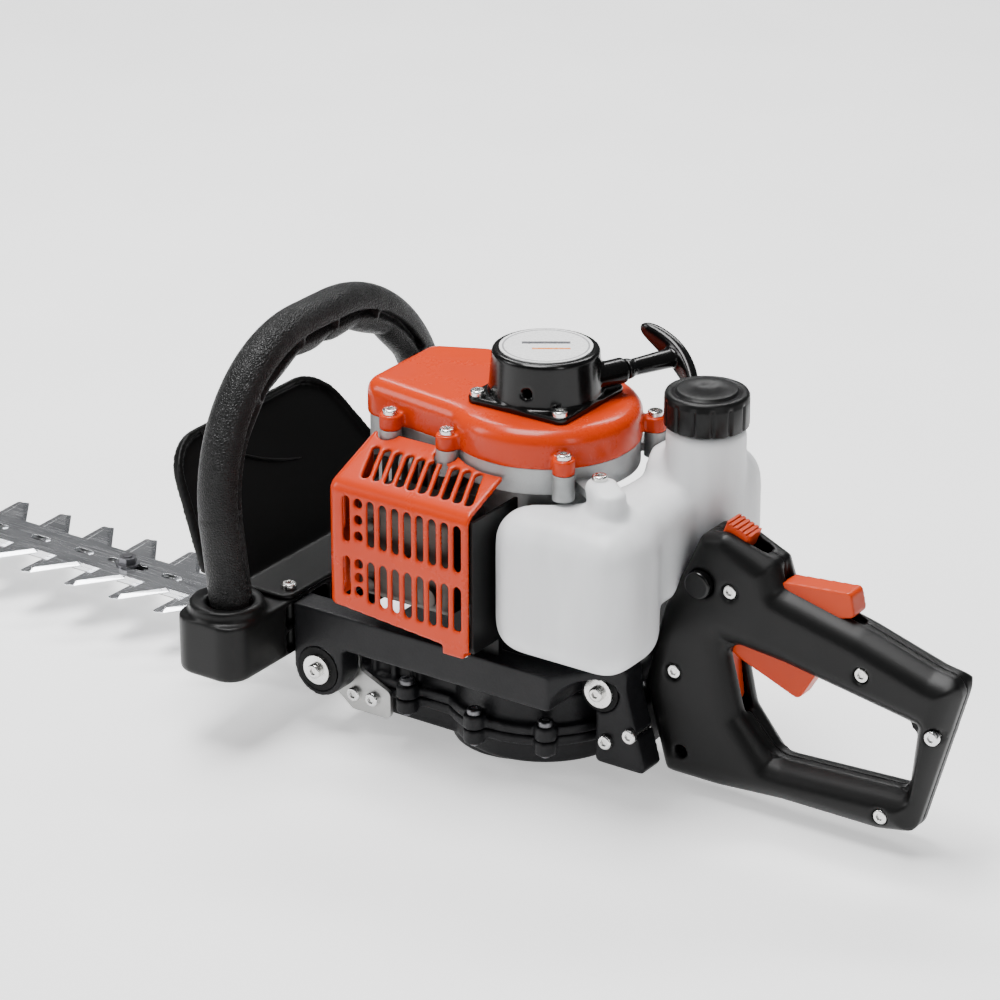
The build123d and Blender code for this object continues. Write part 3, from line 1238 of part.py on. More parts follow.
def throttle_trigger():
    px, pz = TRIGGER_PIVOT
    blade_face = rounded(
        [(122, 110), (120, 96), (134, 88), (172, 73), (183, 92), (183, 99), (150, 110)],
        [3, 4, 8, 4, 3, 2, 4],
    )
    shape = sketch_xz(blade_face, -TRIGGER_HALF, TRIGGER_HALF)
    shape += bar_y(px, pz, -TRIGGER_HALF, TRIGGER_HALF, 5)
    shape += block(px - 5, px + 5, -TRIGGER_HALF, TRIGGER_HALF, 104, pz)
    arm = rounded([(119, 96), (126, 60), (130, 58), (131, 62), (127, 94)], [2, 1.5, 1, 2, 2])
    shape += sketch_xz(arm, -TRIGGER_HALF, TRIGGER_HALF)
    return shape - bar_y(px, pz, -10, 10, PIN_R + FIT)


def lockout_lever():
    px, pz = LOCKOUT_PIVOT
    face = rounded([(158.5, 138), (160, 142), (203, 146), (206, 132), (170, 122), (160, 124)], [1,
            2, 3, 3, 4, 4])
    shape = sketch_xz(face, -LOCKOUT_HALF, LOCKOUT_HALF)
    shape += bar_y(px, pz, -LOCKOUT_HALF, LOCKOUT_HALF, 5)
    return shape - bar_y(px, pz, -10, 10, PIN_R + FIT)


def trigger_pins():
    half = SHELL_HALF - 4
    return [bar_y(x, z, -half, half, PIN_R) for x, z in (TRIGGER_PIVOT, LOCKOUT_PIVOT)]


SWITCH_TRAVEL = 7.0


def stop_switch():
    slider = block(-8, 8, -7, 7, -5 + GAP, 5)
    slider = fillet(slider.edges().filter_by(Axis.Z), 1.5)
    for i in range(5):
        x = -6 + 3 * i
        slider -= block(x - 0.6, x + 0.6, -8, 8, 4.2, 6)
    return switch_spot() * Pos(-SWITCH_TRAVEL / 2, 0, 0) * slider


BUTTON_TRAVEL = 3.5


def lock_button():
    """Throttle-set button on the left shell, proud of the surface by its travel and a little more."""
    x, z = BUTTON
    face_y = -SHELL_HALF - BUTTON_TRAVEL - 1
    button = bar_y(x, z, face_y, -SHELL_HALF + SHELL_WALL + 0.5, BUTTON_R)
    return fillet(button.edges().sort_by(Axis.Y)[0], 1.5)


# ---------------------------------------------------------------- fasteners of the covers
def cover_screws():
    screws = []
    for x, y in FAN_LUGS:
        screws.append(upright_screw(x, y, FAN_COVER_Z + LUG_H, 16))
    for angle in TANK_LUG_ANGLES:
        x = TANK_LUG_R * cos(radians(angle))
        y = TANK_LUG_R * sin(radians(angle))
        screws.append(upright_screw(x, y, TANK_LUG_Z + TANK_LUG_T + 6, 10))
    for x, y in GUARD_SCREWS:
        for side in (-1, 1):
            screws.append(upright_screw(x, side * y, BRACKET_Z1 + GUARD_T, 14))
    x, y = COVER_LUG
    screws.append(Pos(x, y, COVER_LUG_Z) * Rot(180, 0, 0) * pan_screw(6))
    return screws


def starter_screws():
    z = STARTER_Z + STARTER_FLANGE_T
    return [upright_screw(x, y, z, STARTER_FLANGE_T + COVER_WALL - 0.5) for x, y in STARTER_SCREWS]


def main():
    save("gearcase_upper", gearcase_upper())
    save("gearcase_lower", gearcase_lower())
    save("gearcase_bolts", *gearcase_bolts())
    save("drive_pinion", drive_pinion())
    save("drive_gear", drive_gear())
    save("gear_shaft", gear_shaft())
    save("bearings", *bearings())
    save("upper_con_rod", con_rod(UPPER_ROD_Z, BLADE_SPLIT / 2, UPPER_PIN_X, UPPER_BLADE_Z, UPPER_ROD_Z))
    save("lower_con_rod", con_rod(LOWER_ROD_Z, -BLADE_SPLIT / 2, LOWER_PIN_X, LOWER_ROD_Z,
            BLADE_Z + BLADE_T))
    save("upper_blade", blade(BLADE_SPLIT / 2, UPPER_BLADE_Z, UPPER_PIN_X))
    save("lower_blade", blade(-BLADE_SPLIT / 2, BLADE_Z, LOWER_PIN_X))
    save("guide_bar", guide_bar())
    save("blade_bolts", *blade_bolts())
    save("crankcase", crankcase())
    save("crankshaft", *crankshaft())
    save("connecting_rod", connecting_rod())
    save("piston", piston())
    save("cylinder", cylinder())
    save("spark_plug", spark_plug())
    save("spark_plug_boot", spark_plug_boot())
    save("ignition_coil", ignition_coil())
    save("flywheel_fan", flywheel_fan())
    save("clutch_shoes", clutch_shoes())
    save("clutch_drum", clutch_drum())
    save("clutch_housing", clutch_housing())
    save("muffler", muffler())
    save("muffler_cover", muffler_cover())
    save("heat_shield", heat_shield())
    save("cover_screws", *cover_screws())
    save("fan_cover", fan_cover())
    save("starter_housing", starter_housing())
    save("starter_badge", starter_badge())
    save("starter_screws", *starter_screws())
    save("starter_pulley", starter_pulley())
    save("recoil_spring", recoil_spring())
    save("starter_rope", starter_rope())
    save("starter_grip", starter_grip())
    save("carburettor", carburettor())
    save("air_filter_element", air_filter_element())
    save("air_filter_cover", air_filter_cover())
    save("air_filter_knob", air_filter_knob())
    save("primer_bulb", primer_bulb())
    save("choke_lever", choke_lever())
    save("fuel_tank", fuel_tank())
    save("fuel_cap", fuel_cap())
    save("main_frame", main_frame())
    save("av_rubbers", *av_rubbers())
    save("av_screws", *av_screws())
    save("av_plates", *av_plates())
    save("handle_bracket", handle_bracket())
    save("front_handle", front_handle())
    save("front_guard", front_guard())
    save("rear_handle_left", rear_handle_shell(-1))
    save("rear_handle_right", rear_handle_shell(1))
    save("rear_handle_screws", *rear_handle_screws())
    save("throttle_trigger", throttle_trigger())
    save("lockout_lever", lockout_lever())
    save("trigger_pins", *trigger_pins())
    save("stop_switch", stop_switch())
    save("lock_button", lock_button())


main()
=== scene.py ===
# %% [markdown]
# # A petrol hedge trimmer
#
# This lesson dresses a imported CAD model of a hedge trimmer. The CAD solids are right in size and
# place, but they have sharp edges and no finish. Each step below takes one piece or one finish,
# says what it is on the real machine, and builds it in code.
#
# Everything is in metres. +X points at the rear handle, -Y is the machine's left side and +Z is up.

# %% Load the frame
import json
import math

import bmesh
import bpy
from mathutils import Matrix, Vector
from mathutils.bvhtree import BVHTree


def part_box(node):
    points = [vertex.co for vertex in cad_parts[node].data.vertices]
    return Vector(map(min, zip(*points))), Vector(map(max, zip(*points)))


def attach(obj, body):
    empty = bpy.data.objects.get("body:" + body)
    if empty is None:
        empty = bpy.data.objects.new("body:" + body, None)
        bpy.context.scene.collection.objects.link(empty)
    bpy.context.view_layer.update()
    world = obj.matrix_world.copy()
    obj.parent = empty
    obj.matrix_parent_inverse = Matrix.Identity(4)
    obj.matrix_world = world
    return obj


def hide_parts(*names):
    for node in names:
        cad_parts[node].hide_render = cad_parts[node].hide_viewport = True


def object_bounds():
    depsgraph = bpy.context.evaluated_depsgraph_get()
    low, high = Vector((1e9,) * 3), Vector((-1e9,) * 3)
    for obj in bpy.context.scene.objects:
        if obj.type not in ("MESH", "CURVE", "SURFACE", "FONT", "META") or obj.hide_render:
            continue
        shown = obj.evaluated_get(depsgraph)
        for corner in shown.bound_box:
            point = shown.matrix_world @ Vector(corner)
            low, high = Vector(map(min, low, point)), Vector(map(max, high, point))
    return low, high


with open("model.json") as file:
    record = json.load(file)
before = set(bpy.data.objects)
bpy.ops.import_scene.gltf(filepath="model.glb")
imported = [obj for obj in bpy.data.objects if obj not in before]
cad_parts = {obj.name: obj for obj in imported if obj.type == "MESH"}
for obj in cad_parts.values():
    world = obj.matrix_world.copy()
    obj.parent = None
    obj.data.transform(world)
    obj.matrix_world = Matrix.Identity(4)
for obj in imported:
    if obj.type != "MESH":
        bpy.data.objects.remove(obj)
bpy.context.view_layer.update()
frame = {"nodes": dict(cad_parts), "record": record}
ROOT = "body"
MM = 0.001

# %% [markdown]
# ## Camera
#
# The machine is a metre long, and its blades run out of the left edge of the view. A long lens
# from some way off keeps the engine's upright edges upright, as in a catalogue picture, so the
# camera stands over two metres away, turned 34 degrees round and looking 23.5 degrees down.

# %% Camera
CAMERA_SPOT = Vector((1.150, -1.738, 1.0555))
TURN = math.radians(34.2)
TILT = math.radians(23.5)
level = Vector((-math.sin(TURN), math.cos(TURN), 0))
looking = level * math.cos(TILT) - Vector((0, 0, math.sin(TILT)))
lens = bpy.data.cameras.new("camera")
lens.lens = 144
lens.sensor_width = 36
camera = bpy.data.objects.new("camera", lens)
camera.location = CAMERA_SPOT
camera.rotation_euler = looking.to_track_quat("-Z", "Y").to_euler()
bpy.context.collection.objects.link(camera)
bpy.context.scene.camera = camera
print("camera at", tuple(round(c, 3) for c in CAMERA_SPOT))

# %% [markdown]
# ## Shader sums
#
# Node trees drawn by hand are hard to read as code. `Value` wraps one output socket, so that
# `1 - mask * 0.5` adds its own Math nodes. `Paint` holds one material, and its `node` method makes
# any other node: first its settings, then the values or links of its sockets.

# %% A socket that does sums
class Value:
    """An output socket that can be used in sums."""

    def __init__(self, paint, socket):
        self.paint = paint
        self.socket = socket

    def sum_with(self, operation, first, second):
        return self.paint.node("ShaderNodeMath", {"operation": operation}, {0: first, 1: second})

    def __add__(self, other):
        return self.sum_with("ADD", self, other)

    def __radd__(self, other):
        return self.sum_with("ADD", other, self)

    def __sub__(self, other):
        return self.sum_with("SUBTRACT", self, other)

    def __rsub__(self, other):
        return self.sum_with("SUBTRACT", other, self)

    def __mul__(self, other):
        return self.sum_with("MULTIPLY", self, other)

    def __rmul__(self, other):
        return self.sum_with("MULTIPLY", other, self)

    def __gt__(self, other):
        return self.sum_with("GREATER_THAN", self, other)

    def __lt__(self, other):
        return self.sum_with("LESS_THAN", self, other)


# %% A material in the making
class Paint:
    """One material, with short ways to the nodes used most."""

    def __init__(self, name):
        self.material = bpy.data.materials.new(name)
        self.material.use_nodes = True
        self.tree = self.material.node_tree
        self.shader = self.tree.nodes["Principled BSDF"]
        self.place = self.node("ShaderNodeTexCoord", {}, {}, "Object")

    def node(self, kind, settings, inputs, output=0):
        made = self.tree.nodes.new(kind)
        for key, setting in settings.items():
            if key == "stops":
                self.set_stops(made.color_ramp, setting)
            else:
                setattr(made, key, setting)
        for key, given in inputs.items():
            self.put(made.inputs[key], given)
        return Value(self, made.outputs[output])

    def set_stops(self, ramp, stops):
        while len(ramp.elements) < len(stops):
            ramp.elements.new(0.5)
        for element, (position, colour) in zip(ramp.elements, stops):
            element.position = position
            element.color = colour

    def put(self, socket, given):
        if isinstance(given, Value):
            self.tree.links.new(given.socket, socket)
        else:
            socket.default_value = given

    def set(self, **sockets):
        for key, given in sockets.items():
            self.put(self.shader.inputs[key.replace("_", " ")], given)

    def stretched(self, x, y, z):
        return self.node("ShaderNodeMapping", {}, {"Vector": self.place, "Scale": (x, y, z)})

    def noise(self, per_metre, detail=3.0, rough=0.55, place=None):
        inputs = {"Vector": place or self.place, "Scale": per_metre, "Detail": detail, "Roughness": rough}
        return self.node("ShaderNodeTexNoise", {}, inputs, "Fac")

    def cells(self, per_metre, feature="F1", place=None):
        inputs = {"Vector": place or self.place, "Scale": per_metre}
        return self.node("ShaderNodeTexVoronoi", {"feature": feature}, inputs, "Distance")

    def between(self, value, low, high, to_low=0.0, to_high=1.0):
        inputs = {0: value, 1: low, 2: high, 3: to_low, 4: to_high}
        return self.node("ShaderNodeMapRange", {"clamp": True}, inputs)

    def mix(self, mask, first, second):
        return self.node("ShaderNodeMix", {"data_type": "RGBA"}, {0: mask, 6: first, 7: second}, 2)

    def axis(self, name):
        return self.node("ShaderNodeSeparateXYZ", {}, {0: self.place}, name)

    def soft_normal(self, radius):
        return self.node("ShaderNodeBevel", {"samples": 4}, {"Radius": radius})

    def edges(self, radius):
        """1 along outer and inner edges, 0 on open faces."""
        true = self.node("ShaderNodeNewGeometry", {}, {}, "Normal")
        both = {0: self.soft_normal(radius), 1: true}
        along = self.node("ShaderNodeVectorMath", {"operation": "DOT_PRODUCT"}, both, "Value")
        return self.between(1 - along, 0.02, 0.25)

    def bump(self, height, depth, radius=0.0):
        inputs = {"Strength": 1.0, "Distance": depth, "Height": height}
        if radius:
            inputs["Normal"] = self.soft_normal(radius)
        return self.node("ShaderNodeBump", {}, inputs)


def rgb(red, green, blue):
    return (red, green, blue, 1.0)


finishes = {}
print("shader helpers ready")

# %% [markdown]
# ## Mouldings
#
# The covers are moulded in glossy orange, the handle shells in black with a fine spark texture.
# A moulded surface is never quite even: it has a faint orange peel, and its edges are a little
# round. The Bevel node rounds the light on the small edges, and noise at two scales moves the
# roughness. Large roundings are real geometry.

# %% Moulded plastic
def moulding(
    name, colour, dark, roughness, coat=0.0, gloss=0.3, peel=0.00002, texture=900, radius=0.0006
):
    paint = Paint(name)
    broad = paint.noise(22, 2.0)
    fine = paint.noise(texture, 2.0)
    tint = paint.between(broad, 0.3, 0.7, 0.0, 0.55)
    # Colour 1.5 times lighter along outer and inner edges: a painted edge highlight.
    edge_highlight = paint.edges(radius) * 0.35
    base = paint.mix(tint, colour, dark)
    paint.set(
        Base_Color=paint.mix(edge_highlight, base, [min(1, c * 1.5) for c in colour[:3]] + [1]),
        Roughness=paint.between(broad + fine * 0.3, 0.3, 1.0, roughness - 0.04, roughness + 0.08),
        Coat_Weight=coat,
        Coat_Roughness=0.06,
        Specular_IOR_Level=gloss,
        Normal=paint.bump(fine, peel, radius),
    )
    finishes[name] = paint.material
    return paint


ORANGE = rgb(0.56, 0.034, 0.000)
ORANGE_DARK = rgb(0.48, 0.024, 0.000)
LEVER_ORANGE = rgb(0.52, 0.042, 0.001)
moulding(
    "orange_gloss", ORANGE, ORANGE_DARK, 0.26,
    coat=0.12, gloss=0.2, peel=0.000012, texture=420, radius=0.0012,
)
moulding("orange_plastic", LEVER_ORANGE, ORANGE_DARK, 0.36, gloss=0.25)
moulding("black_gloss", rgb(0.003, 0.003, 0.003), rgb(0.002, 0.002, 0.002), 0.18, gloss=0.32, texture=500)
BLACK = rgb(0.0045, 0.0045, 0.0045)
BLACK_DARK = rgb(0.003, 0.003, 0.003)
moulding("black_plastic", BLACK, BLACK_DARK, 0.36, gloss=0.2, peel=0.00005, texture=1700)
moulding("shield_black", BLACK, BLACK_DARK, 0.34, gloss=0.12, peel=0.00004, texture=1500)
moulding("rubber_black", rgb(0.006, 0.006, 0.006), rgb(0.009, 0.009, 0.009), 0.6, gloss=0.15, texture=1100)
print("mouldings", sorted(finishes))

# %% [markdown]
# ## Metals
#
# Three kinds show: a painted or bare casting with a sandy skin, ground blade steel with long
# grinding lines, and plated screws. The direction of the lines matters most on the blades, so the
# noise is squeezed across the blade and drawn out along it.

# %% Castings
def casting(name, colour, dark, metal, roughness, depth=0.00012, radius=0.0009):
    paint = Paint(name)
    sand = paint.noise(750, 4.0, 0.6)
    broad = paint.noise(45, 2.0)
    dust = paint.between(broad, 0.45, 0.75)
    # Colour half way towards the lighter colour named lit along outer and inner edges: a painted edge
    # highlight.
    edge_highlight = paint.edges(radius)
    lit = [min(1, c * 1.6 + 0.003) for c in colour[:3]] + [1]
    paint.set(
        Base_Color=paint.mix(edge_highlight * 0.5, paint.mix(dust, colour, dark), lit),
        Metallic=metal,
        Specular_IOR_Level=0.2,
        Roughness=paint.between(sand, 0.3, 0.7, roughness - 0.07, roughness + 0.08),
        Normal=paint.bump(sand, depth, radius),
    )
    finishes[name] = paint.material
    return paint


casting("case_black", rgb(0.007, 0.007, 0.008), rgb(0.004, 0.004, 0.005), 0.0, 0.40)
casting("cast_aluminium", rgb(0.40, 0.41, 0.41), rgb(0.30, 0.31, 0.31), 0.75, 0.50)
print("castings ready")


# %% Machined and plated metal
def machined(name, colour, dark, roughness, stretch=(60, 900, 900), depth=0.00002, radius=0.0004):
    paint = Paint(name)
    lines = paint.noise(1.0, 3.0, 0.6, paint.stretched(*stretch))
    broad = paint.noise(30, 2.0)
    stain = paint.between(broad, 0.4, 0.75, 0.0, 0.8)
    paint.set(
        Base_Color=paint.mix(stain, colour, dark),
        Metallic=1.0,
        Roughness=paint.between(lines, 0.3, 0.7, roughness - 0.08, roughness + 0.10),
        Normal=paint.bump(lines, depth, radius),
    )
    finishes[name] = paint.material
    return paint


machined("blade_steel", rgb(0.80, 0.81, 0.83), rgb(0.62, 0.63, 0.66), 0.20, (25, 2600, 2600), 0.00001)
machined("plate_steel", rgb(0.46, 0.46, 0.45), rgb(0.33, 0.33, 0.33), 0.40, (300, 700, 700))
machined("dark_steel", rgb(0.16, 0.16, 0.17), rgb(0.09, 0.09, 0.09), 0.34)
machined("bright_screws", rgb(0.76, 0.76, 0.75), rgb(0.58, 0.57, 0.53), 0.22, (500, 500, 500))
machined("muffler_steel", rgb(0.12, 0.11, 0.10), rgb(0.07, 0.05, 0.045), 0.46, (120, 500, 500), 0.00003)
print("metals ready")

# %% [markdown]
# ## Soft and clear materials
#
# The tank is blow-moulded in natural polyethylene: milky, a little see-through, with light that
# soaks in before it comes out. Subsurface scattering does this without making the tank glassy.
# The front handle has a leather-like grain of small rounded cells, which Voronoi cells draw well.

# %% Tank, grip, foam, rope
def tank_finish():
    paint = Paint("tank_white")
    flow = paint.noise(1.0, 3.0, 0.5, paint.stretched(60, 60, 14))
    skin = paint.noise(420, 3.0)
    paint.set(
        Base_Color=paint.mix(paint.between(flow, 0.3, 0.75), rgb(0.80, 0.81, 0.82), rgb(0.72, 0.73, 0.74)),
        Roughness=paint.between(skin, 0.3, 0.7, 0.36, 0.48),
        Subsurface_Weight=0.55,
        Subsurface_Radius=(1.0, 1.0, 1.0),
        Subsurface_Scale=0.006,
        Normal=paint.bump(flow + skin * 0.15, 0.00035, 0.001),
    )
    finishes["tank_white"] = paint.material


def grip_finish():
    paint = Paint("grip_black")
    bent = paint.noise(260, 2.0)
    cells = paint.cells(620, "DISTANCE_TO_EDGE")
    leather = paint.between(cells + bent * 0.05, 0.02, 0.32)
    dust = paint.between(paint.noise(60, 3.0), 0.4, 0.75)
    paint.set(
        Base_Color=paint.mix(dust, rgb(0.006, 0.006, 0.006), rgb(0.010, 0.010, 0.010)),
        Roughness=paint.between(leather, 0.0, 1.0, 0.50, 0.32),
        Specular_IOR_Level=0.22,
        Normal=paint.bump(leather, 0.00030, 0.0008),
    )
    finishes["grip_black"] = paint.material


def foam_finish():
    paint = Paint("filter_foam")
    pores = paint.cells(900)
    paint.set(
        Base_Color=paint.mix(pores, rgb(0.02, 0.02, 0.022), rgb(0.07, 0.07, 0.08)),
        Roughness=0.9,
        Normal=paint.bump(pores, 0.0004),
    )
    finishes["filter_foam"] = paint.material


def rope_finish():
    paint = Paint("rope_black")
    inputs = {"Vector": paint.place, "Scale": 900.0, "Distortion": 2.0}
    braid = paint.node("ShaderNodeTexWave", {"bands_direction": "DIAGONAL"}, inputs, "Fac")
    paint.set(
        Base_Color=paint.mix(braid, rgb(0.02, 0.02, 0.02), rgb(0.09, 0.09, 0.09)),
        Roughness=0.75,
        Normal=paint.bump(braid, 0.0003),
    )
    finishes["rope_black"] = paint.material


for make in (tank_finish, grip_finish, foam_finish, rope_finish):
    make()
moulding("primer_clear", rgb(0.50, 0.42, 0.30), rgb(0.42, 0.34, 0.22), 0.30, coat=0.2)
moulding("ceramic_white", rgb(0.80, 0.79, 0.74), rgb(0.66, 0.65, 0.60), 0.22, coat=0.6)
print("finishes", len(finishes))

# %% [markdown]
# ## The badge
#
# The round badge on the starter is a printed disc. It carries no name here: only a fine ring and
# two short bars, drawn from distances in the disc's own plane.

# %% Badge
def badge_finish():
    paint = Paint("badge_white")
    low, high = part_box("starter_badge")
    centre = [(a + b) / 2 for a, b in zip(low, high)]
    x = paint.axis("X") - centre[0]
    y = paint.axis("Y") - centre[1]
    across = x * 0.83 + y * 0.56
    along = y * 0.83 - x * 0.56
    radius = paint.node("ShaderNodeMath", {"operation": "SQRT"}, {0: x * x + y * y})
    edge = (high[0] - low[0]) / 2
    ring = (radius > edge * 0.90) * (radius < edge * 0.94)
    wide = (across < edge * 0.52) * (across > edge * -0.52)
    top_bar = wide * (along > edge * 0.10) * (along < edge * 0.24)
    low_bar = wide * (along > edge * -0.22) * (along < edge * -0.14) * (across > edge * -0.30)
    plain = paint.mix(paint.noise(300, 3.0), rgb(0.78, 0.78, 0.78), rgb(0.86, 0.86, 0.86))
    printed = paint.mix(ring, plain, rgb(0.30, 0.30, 0.31))
    printed = paint.mix(top_bar, printed, rgb(0.10, 0.10, 0.11))
    printed = paint.mix(low_bar, printed, rgb(0.80, 0.22, 0.02))
    paint.set(Base_Color=printed, Roughness=paint.between(paint.noise(500), 0.3, 0.7, 0.22, 0.32))
    finishes["badge_white"] = paint.material


badge_finish()
print("badge ready")

# %% Dress the CAD nodes
slot_of = {row["node"]: row["material_slot"] for row in frame["record"]["subparts"]}


def dress(piece, finish):
    piece.data.materials.clear()
    piece.data.materials.append(finishes[finish])


for node, shape in frame["nodes"].items():
    finish = finishes[slot_of[node]]
    if not shape.material_slots:
        shape.data.materials.append(finish)
    for material_slot in shape.material_slots:
        material_slot.material = finish
print("dressed", len(frame["nodes"]), "nodes")

# %% [markdown]
# ## Studio
#
# The machine stands on a plain white sweep. A broad soft light overhead draws the long highlights
# on the covers, two tall ones in front open up the black parts, and a narrow one high behind draws
# a bright line along the edges. None of these belongs to the object.

# %% Floor
FLOOR_GLOW = 0.6


def floor_finish():
    paint = Paint("floor_white")
    speckle = paint.noise(6, 3.0)
    paint.set(
        Base_Color=paint.mix(speckle, rgb(0.90, 0.90, 0.90), rgb(0.93, 0.93, 0.93)),
        Roughness=paint.between(speckle, 0.3, 0.7, 0.45, 0.60),
        Emission_Color=rgb(1.0, 1.0, 1.0),
        Emission_Strength=FLOOR_GLOW,
    )
    return paint.material


FLOOR_HALF = 9.0
sheet = bmesh.new()
bmesh.ops.create_grid(sheet, x_segments=8, y_segments=8, size=FLOOR_HALF)
floor_mesh = bpy.data.meshes.new("floor")
sheet.to_mesh(floor_mesh)
sheet.free()
floor = bpy.data.objects.new("floor", floor_mesh)
floor_mesh.materials.append(floor_finish())
bpy.context.collection.objects.link(floor)
floor.location.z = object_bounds()[0][2] - 0.0003
print("floor", FLOOR_HALF * 2, "m square")


# %% Lights
def soft_light(name, spot, target, width, height, watts, colour=(1, 1, 1)):
    lamp = bpy.data.lights.new(name, "AREA")
    lamp.shape = "RECTANGLE"
    lamp.size = width
    lamp.size_y = height
    lamp.energy = watts
    lamp.color = colour
    holder = bpy.data.objects.new(name, lamp)
    holder.location = spot
    aim = Vector(target) - Vector(spot)
    holder.rotation_euler = aim.to_track_quat("-Z", "Y").to_euler()
    bpy.context.collection.objects.link(holder)
    return holder


ENGINE = (0.0, 0.0, 0.12)
soft_light("overhead", (-0.4, -0.1, 2.3), ENGINE, 1.5, 0.9, 95)
soft_light("left_front", (-1.9, -1.5, 1.2), ENGINE, 0.6, 1.2, 24)
soft_light("right_front", (1.9, -0.9, 1.1), ENGINE, 0.3, 1.2, 9)
soft_light("rim", (-0.9, 1.6, 2.0), ENGINE, 2.2, 0.3, 46)
world = bpy.data.worlds.new("studio")
world.use_nodes = True
world.node_tree.nodes["Background"].inputs["Color"].default_value = rgb(0.95, 0.97, 1.0)
world.node_tree.nodes["Background"].inputs["Strength"].default_value = 0.12
bpy.context.scene.world = world
print("lights ready")

# %% [markdown]
# ## Ways to make a piece
#
# Most pieces below are closed meshes made with bmesh. A moulded or cast piece gets its roundings
# in one of two ways. Where the CAD solid has the right form, `softened` copies it, rebuilds its
# skin as an even mesh and relaxes that, which rounds every edge as a mould does. Where the form
# itself is freer than the CAD solid, the piece is made from its own sections.

# %% Piece helpers
def add_piece(name, shell, finish, node=None, body=ROOT, smooth=True):
    """Puts a mesh in the scene as a finished piece, which may stand for a CAD node."""
    piece = bpy.data.objects.new(name, shell)
    bpy.context.collection.objects.link(piece)
    if smooth:
        shell.shade_smooth()
    dress(piece, finish)
    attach(piece, body)
    if node:
        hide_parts(node)
    print(name, len(shell.polygons), "faces")
    return piece


def to_mesh(name, shape):
    bmesh.ops.recalc_face_normals(shape, faces=shape.faces)
    shell = bpy.data.meshes.new(name)
    shape.to_mesh(shell)
    shape.free()
    return shell


def with_modifiers(name, shell, steps):
    """The mesh after a list of modifiers, each a type and its settings."""
    holder = bpy.data.objects.new(name, shell)
    bpy.context.collection.objects.link(holder)
    for kind, settings in steps:
        modifier = holder.modifiers.new(kind.lower(), kind)
        for key, setting in settings.items():
            setattr(modifier, key, setting)
    seen = bpy.context.evaluated_depsgraph_get()
    result = bpy.data.meshes.new_from_object(holder.evaluated_get(seen))
    bpy.data.objects.remove(holder)
    return result


def relaxed(name, shell, voxel, rounds):
    remesh = ("REMESH", {"mode": "VOXEL", "voxel_size": voxel, "adaptivity": 0.0})
    return with_modifiers(name, shell, [remesh, ("SMOOTH", {"factor": 0.5, "iterations": rounds})])


def softened(node, voxel, rounds):
    """A CAD node again, with rounded edges."""
    copy = frame["nodes"][node].data.copy()
    copy.materials.clear()
    return relaxed(node + "_skin", copy, voxel, rounds)


def boolean(name, shell, other, operation):
    tool = bpy.data.objects.new(name + "_tool", other)
    bpy.context.collection.objects.link(tool)
    settings = {"operation": operation, "object": tool, "solver": "EXACT"}
    result = with_modifiers(name, shell, [("BOOLEAN", settings)])
    bpy.data.objects.remove(tool)
    return result


print("piece helpers ready")


# %% Closed forms from sections
def loft(rings):
    """A closed tube of quads through equal rings of points."""
    shape = bmesh.new()
    rows = [[shape.verts.new(point) for point in ring] for ring in rings]
    count = len(rows[0])
    for low, high in zip(rows, rows[1:]):
        for i in range(count):
            j = (i + 1) % count
            shape.faces.new((low[i], low[j], high[j], high[i]))
    shape.faces.new(rows[0][::-1])
    shape.faces.new(rows[-1])
    return shape


def rounded_box(shape, low, high, radius, segments=6):
    """A box with all its edges rounded, added to a bmesh."""
    size = [b - a for a, b in zip(low, high)]
    centre = [(a + b) / 2 for a, b in zip(low, high)]
    made = bmesh.ops.create_cube(shape, size=1.0)["verts"]
    bmesh.ops.scale(shape, vec=size, verts=made)
    bmesh.ops.translate(shape, vec=centre, verts=made)
    edges = list({edge for vert in made for edge in vert.link_edges})
    bevel = {"segments": segments, "profile": 0.5, "affect": "EDGES", "clamp_overlap": True}
    bmesh.ops.bevel(shape, geom=edges, offset=radius, **bevel)


def lathe(profile, centre, count=96, wave=None):
    """A turned form from (radius, height) pairs; wave(angle) scales the radius of marked rows."""
    rings = []
    for radius, height, waved in profile:
        ring = []
        for i in range(count):
            angle = 2 * math.pi * i / count
            r = radius * (wave(angle) if wave and waved else 1.0)
            ring.append((centre[0] + r * math.cos(angle), centre[1] + r * math.sin(angle), height))
        rings.append(ring)
    return loft(rings)


def post(shape, x, y, z0, z1, radius):
    """An upright round post added to a bmesh."""
    spot = Matrix.Translation((x, y, (z0 + z1) / 2))
    bmesh.ops.create_cone(
        shape, cap_ends=True, segments=64, radius1=radius, radius2=radius, depth=z1 - z0, matrix=spot
    )


print("section helpers ready")

# %% [markdown]
# ## Front handle
#
# The loop is a thick tube moulded round a steel core. Its inside has scalloped finger grips over
# the top, and an open channel broken by webs runs along the side that faces the engine. A curve
# with a bevel would give a plain hose, so the tube is lofted ring by ring, and each ring's radius
# depends on the direction inside it and on the place along the loop.

# %% Line of the loop
LOOP_RADIUS = 0.088
TUBE_RADIUS = 0.0132
LOOP_LEAN = 0.08
LOOP_SPREAD = 0.004
LEG_ROWS = 60
ARC_ROWS = 80
FLAT_ROWS = 15


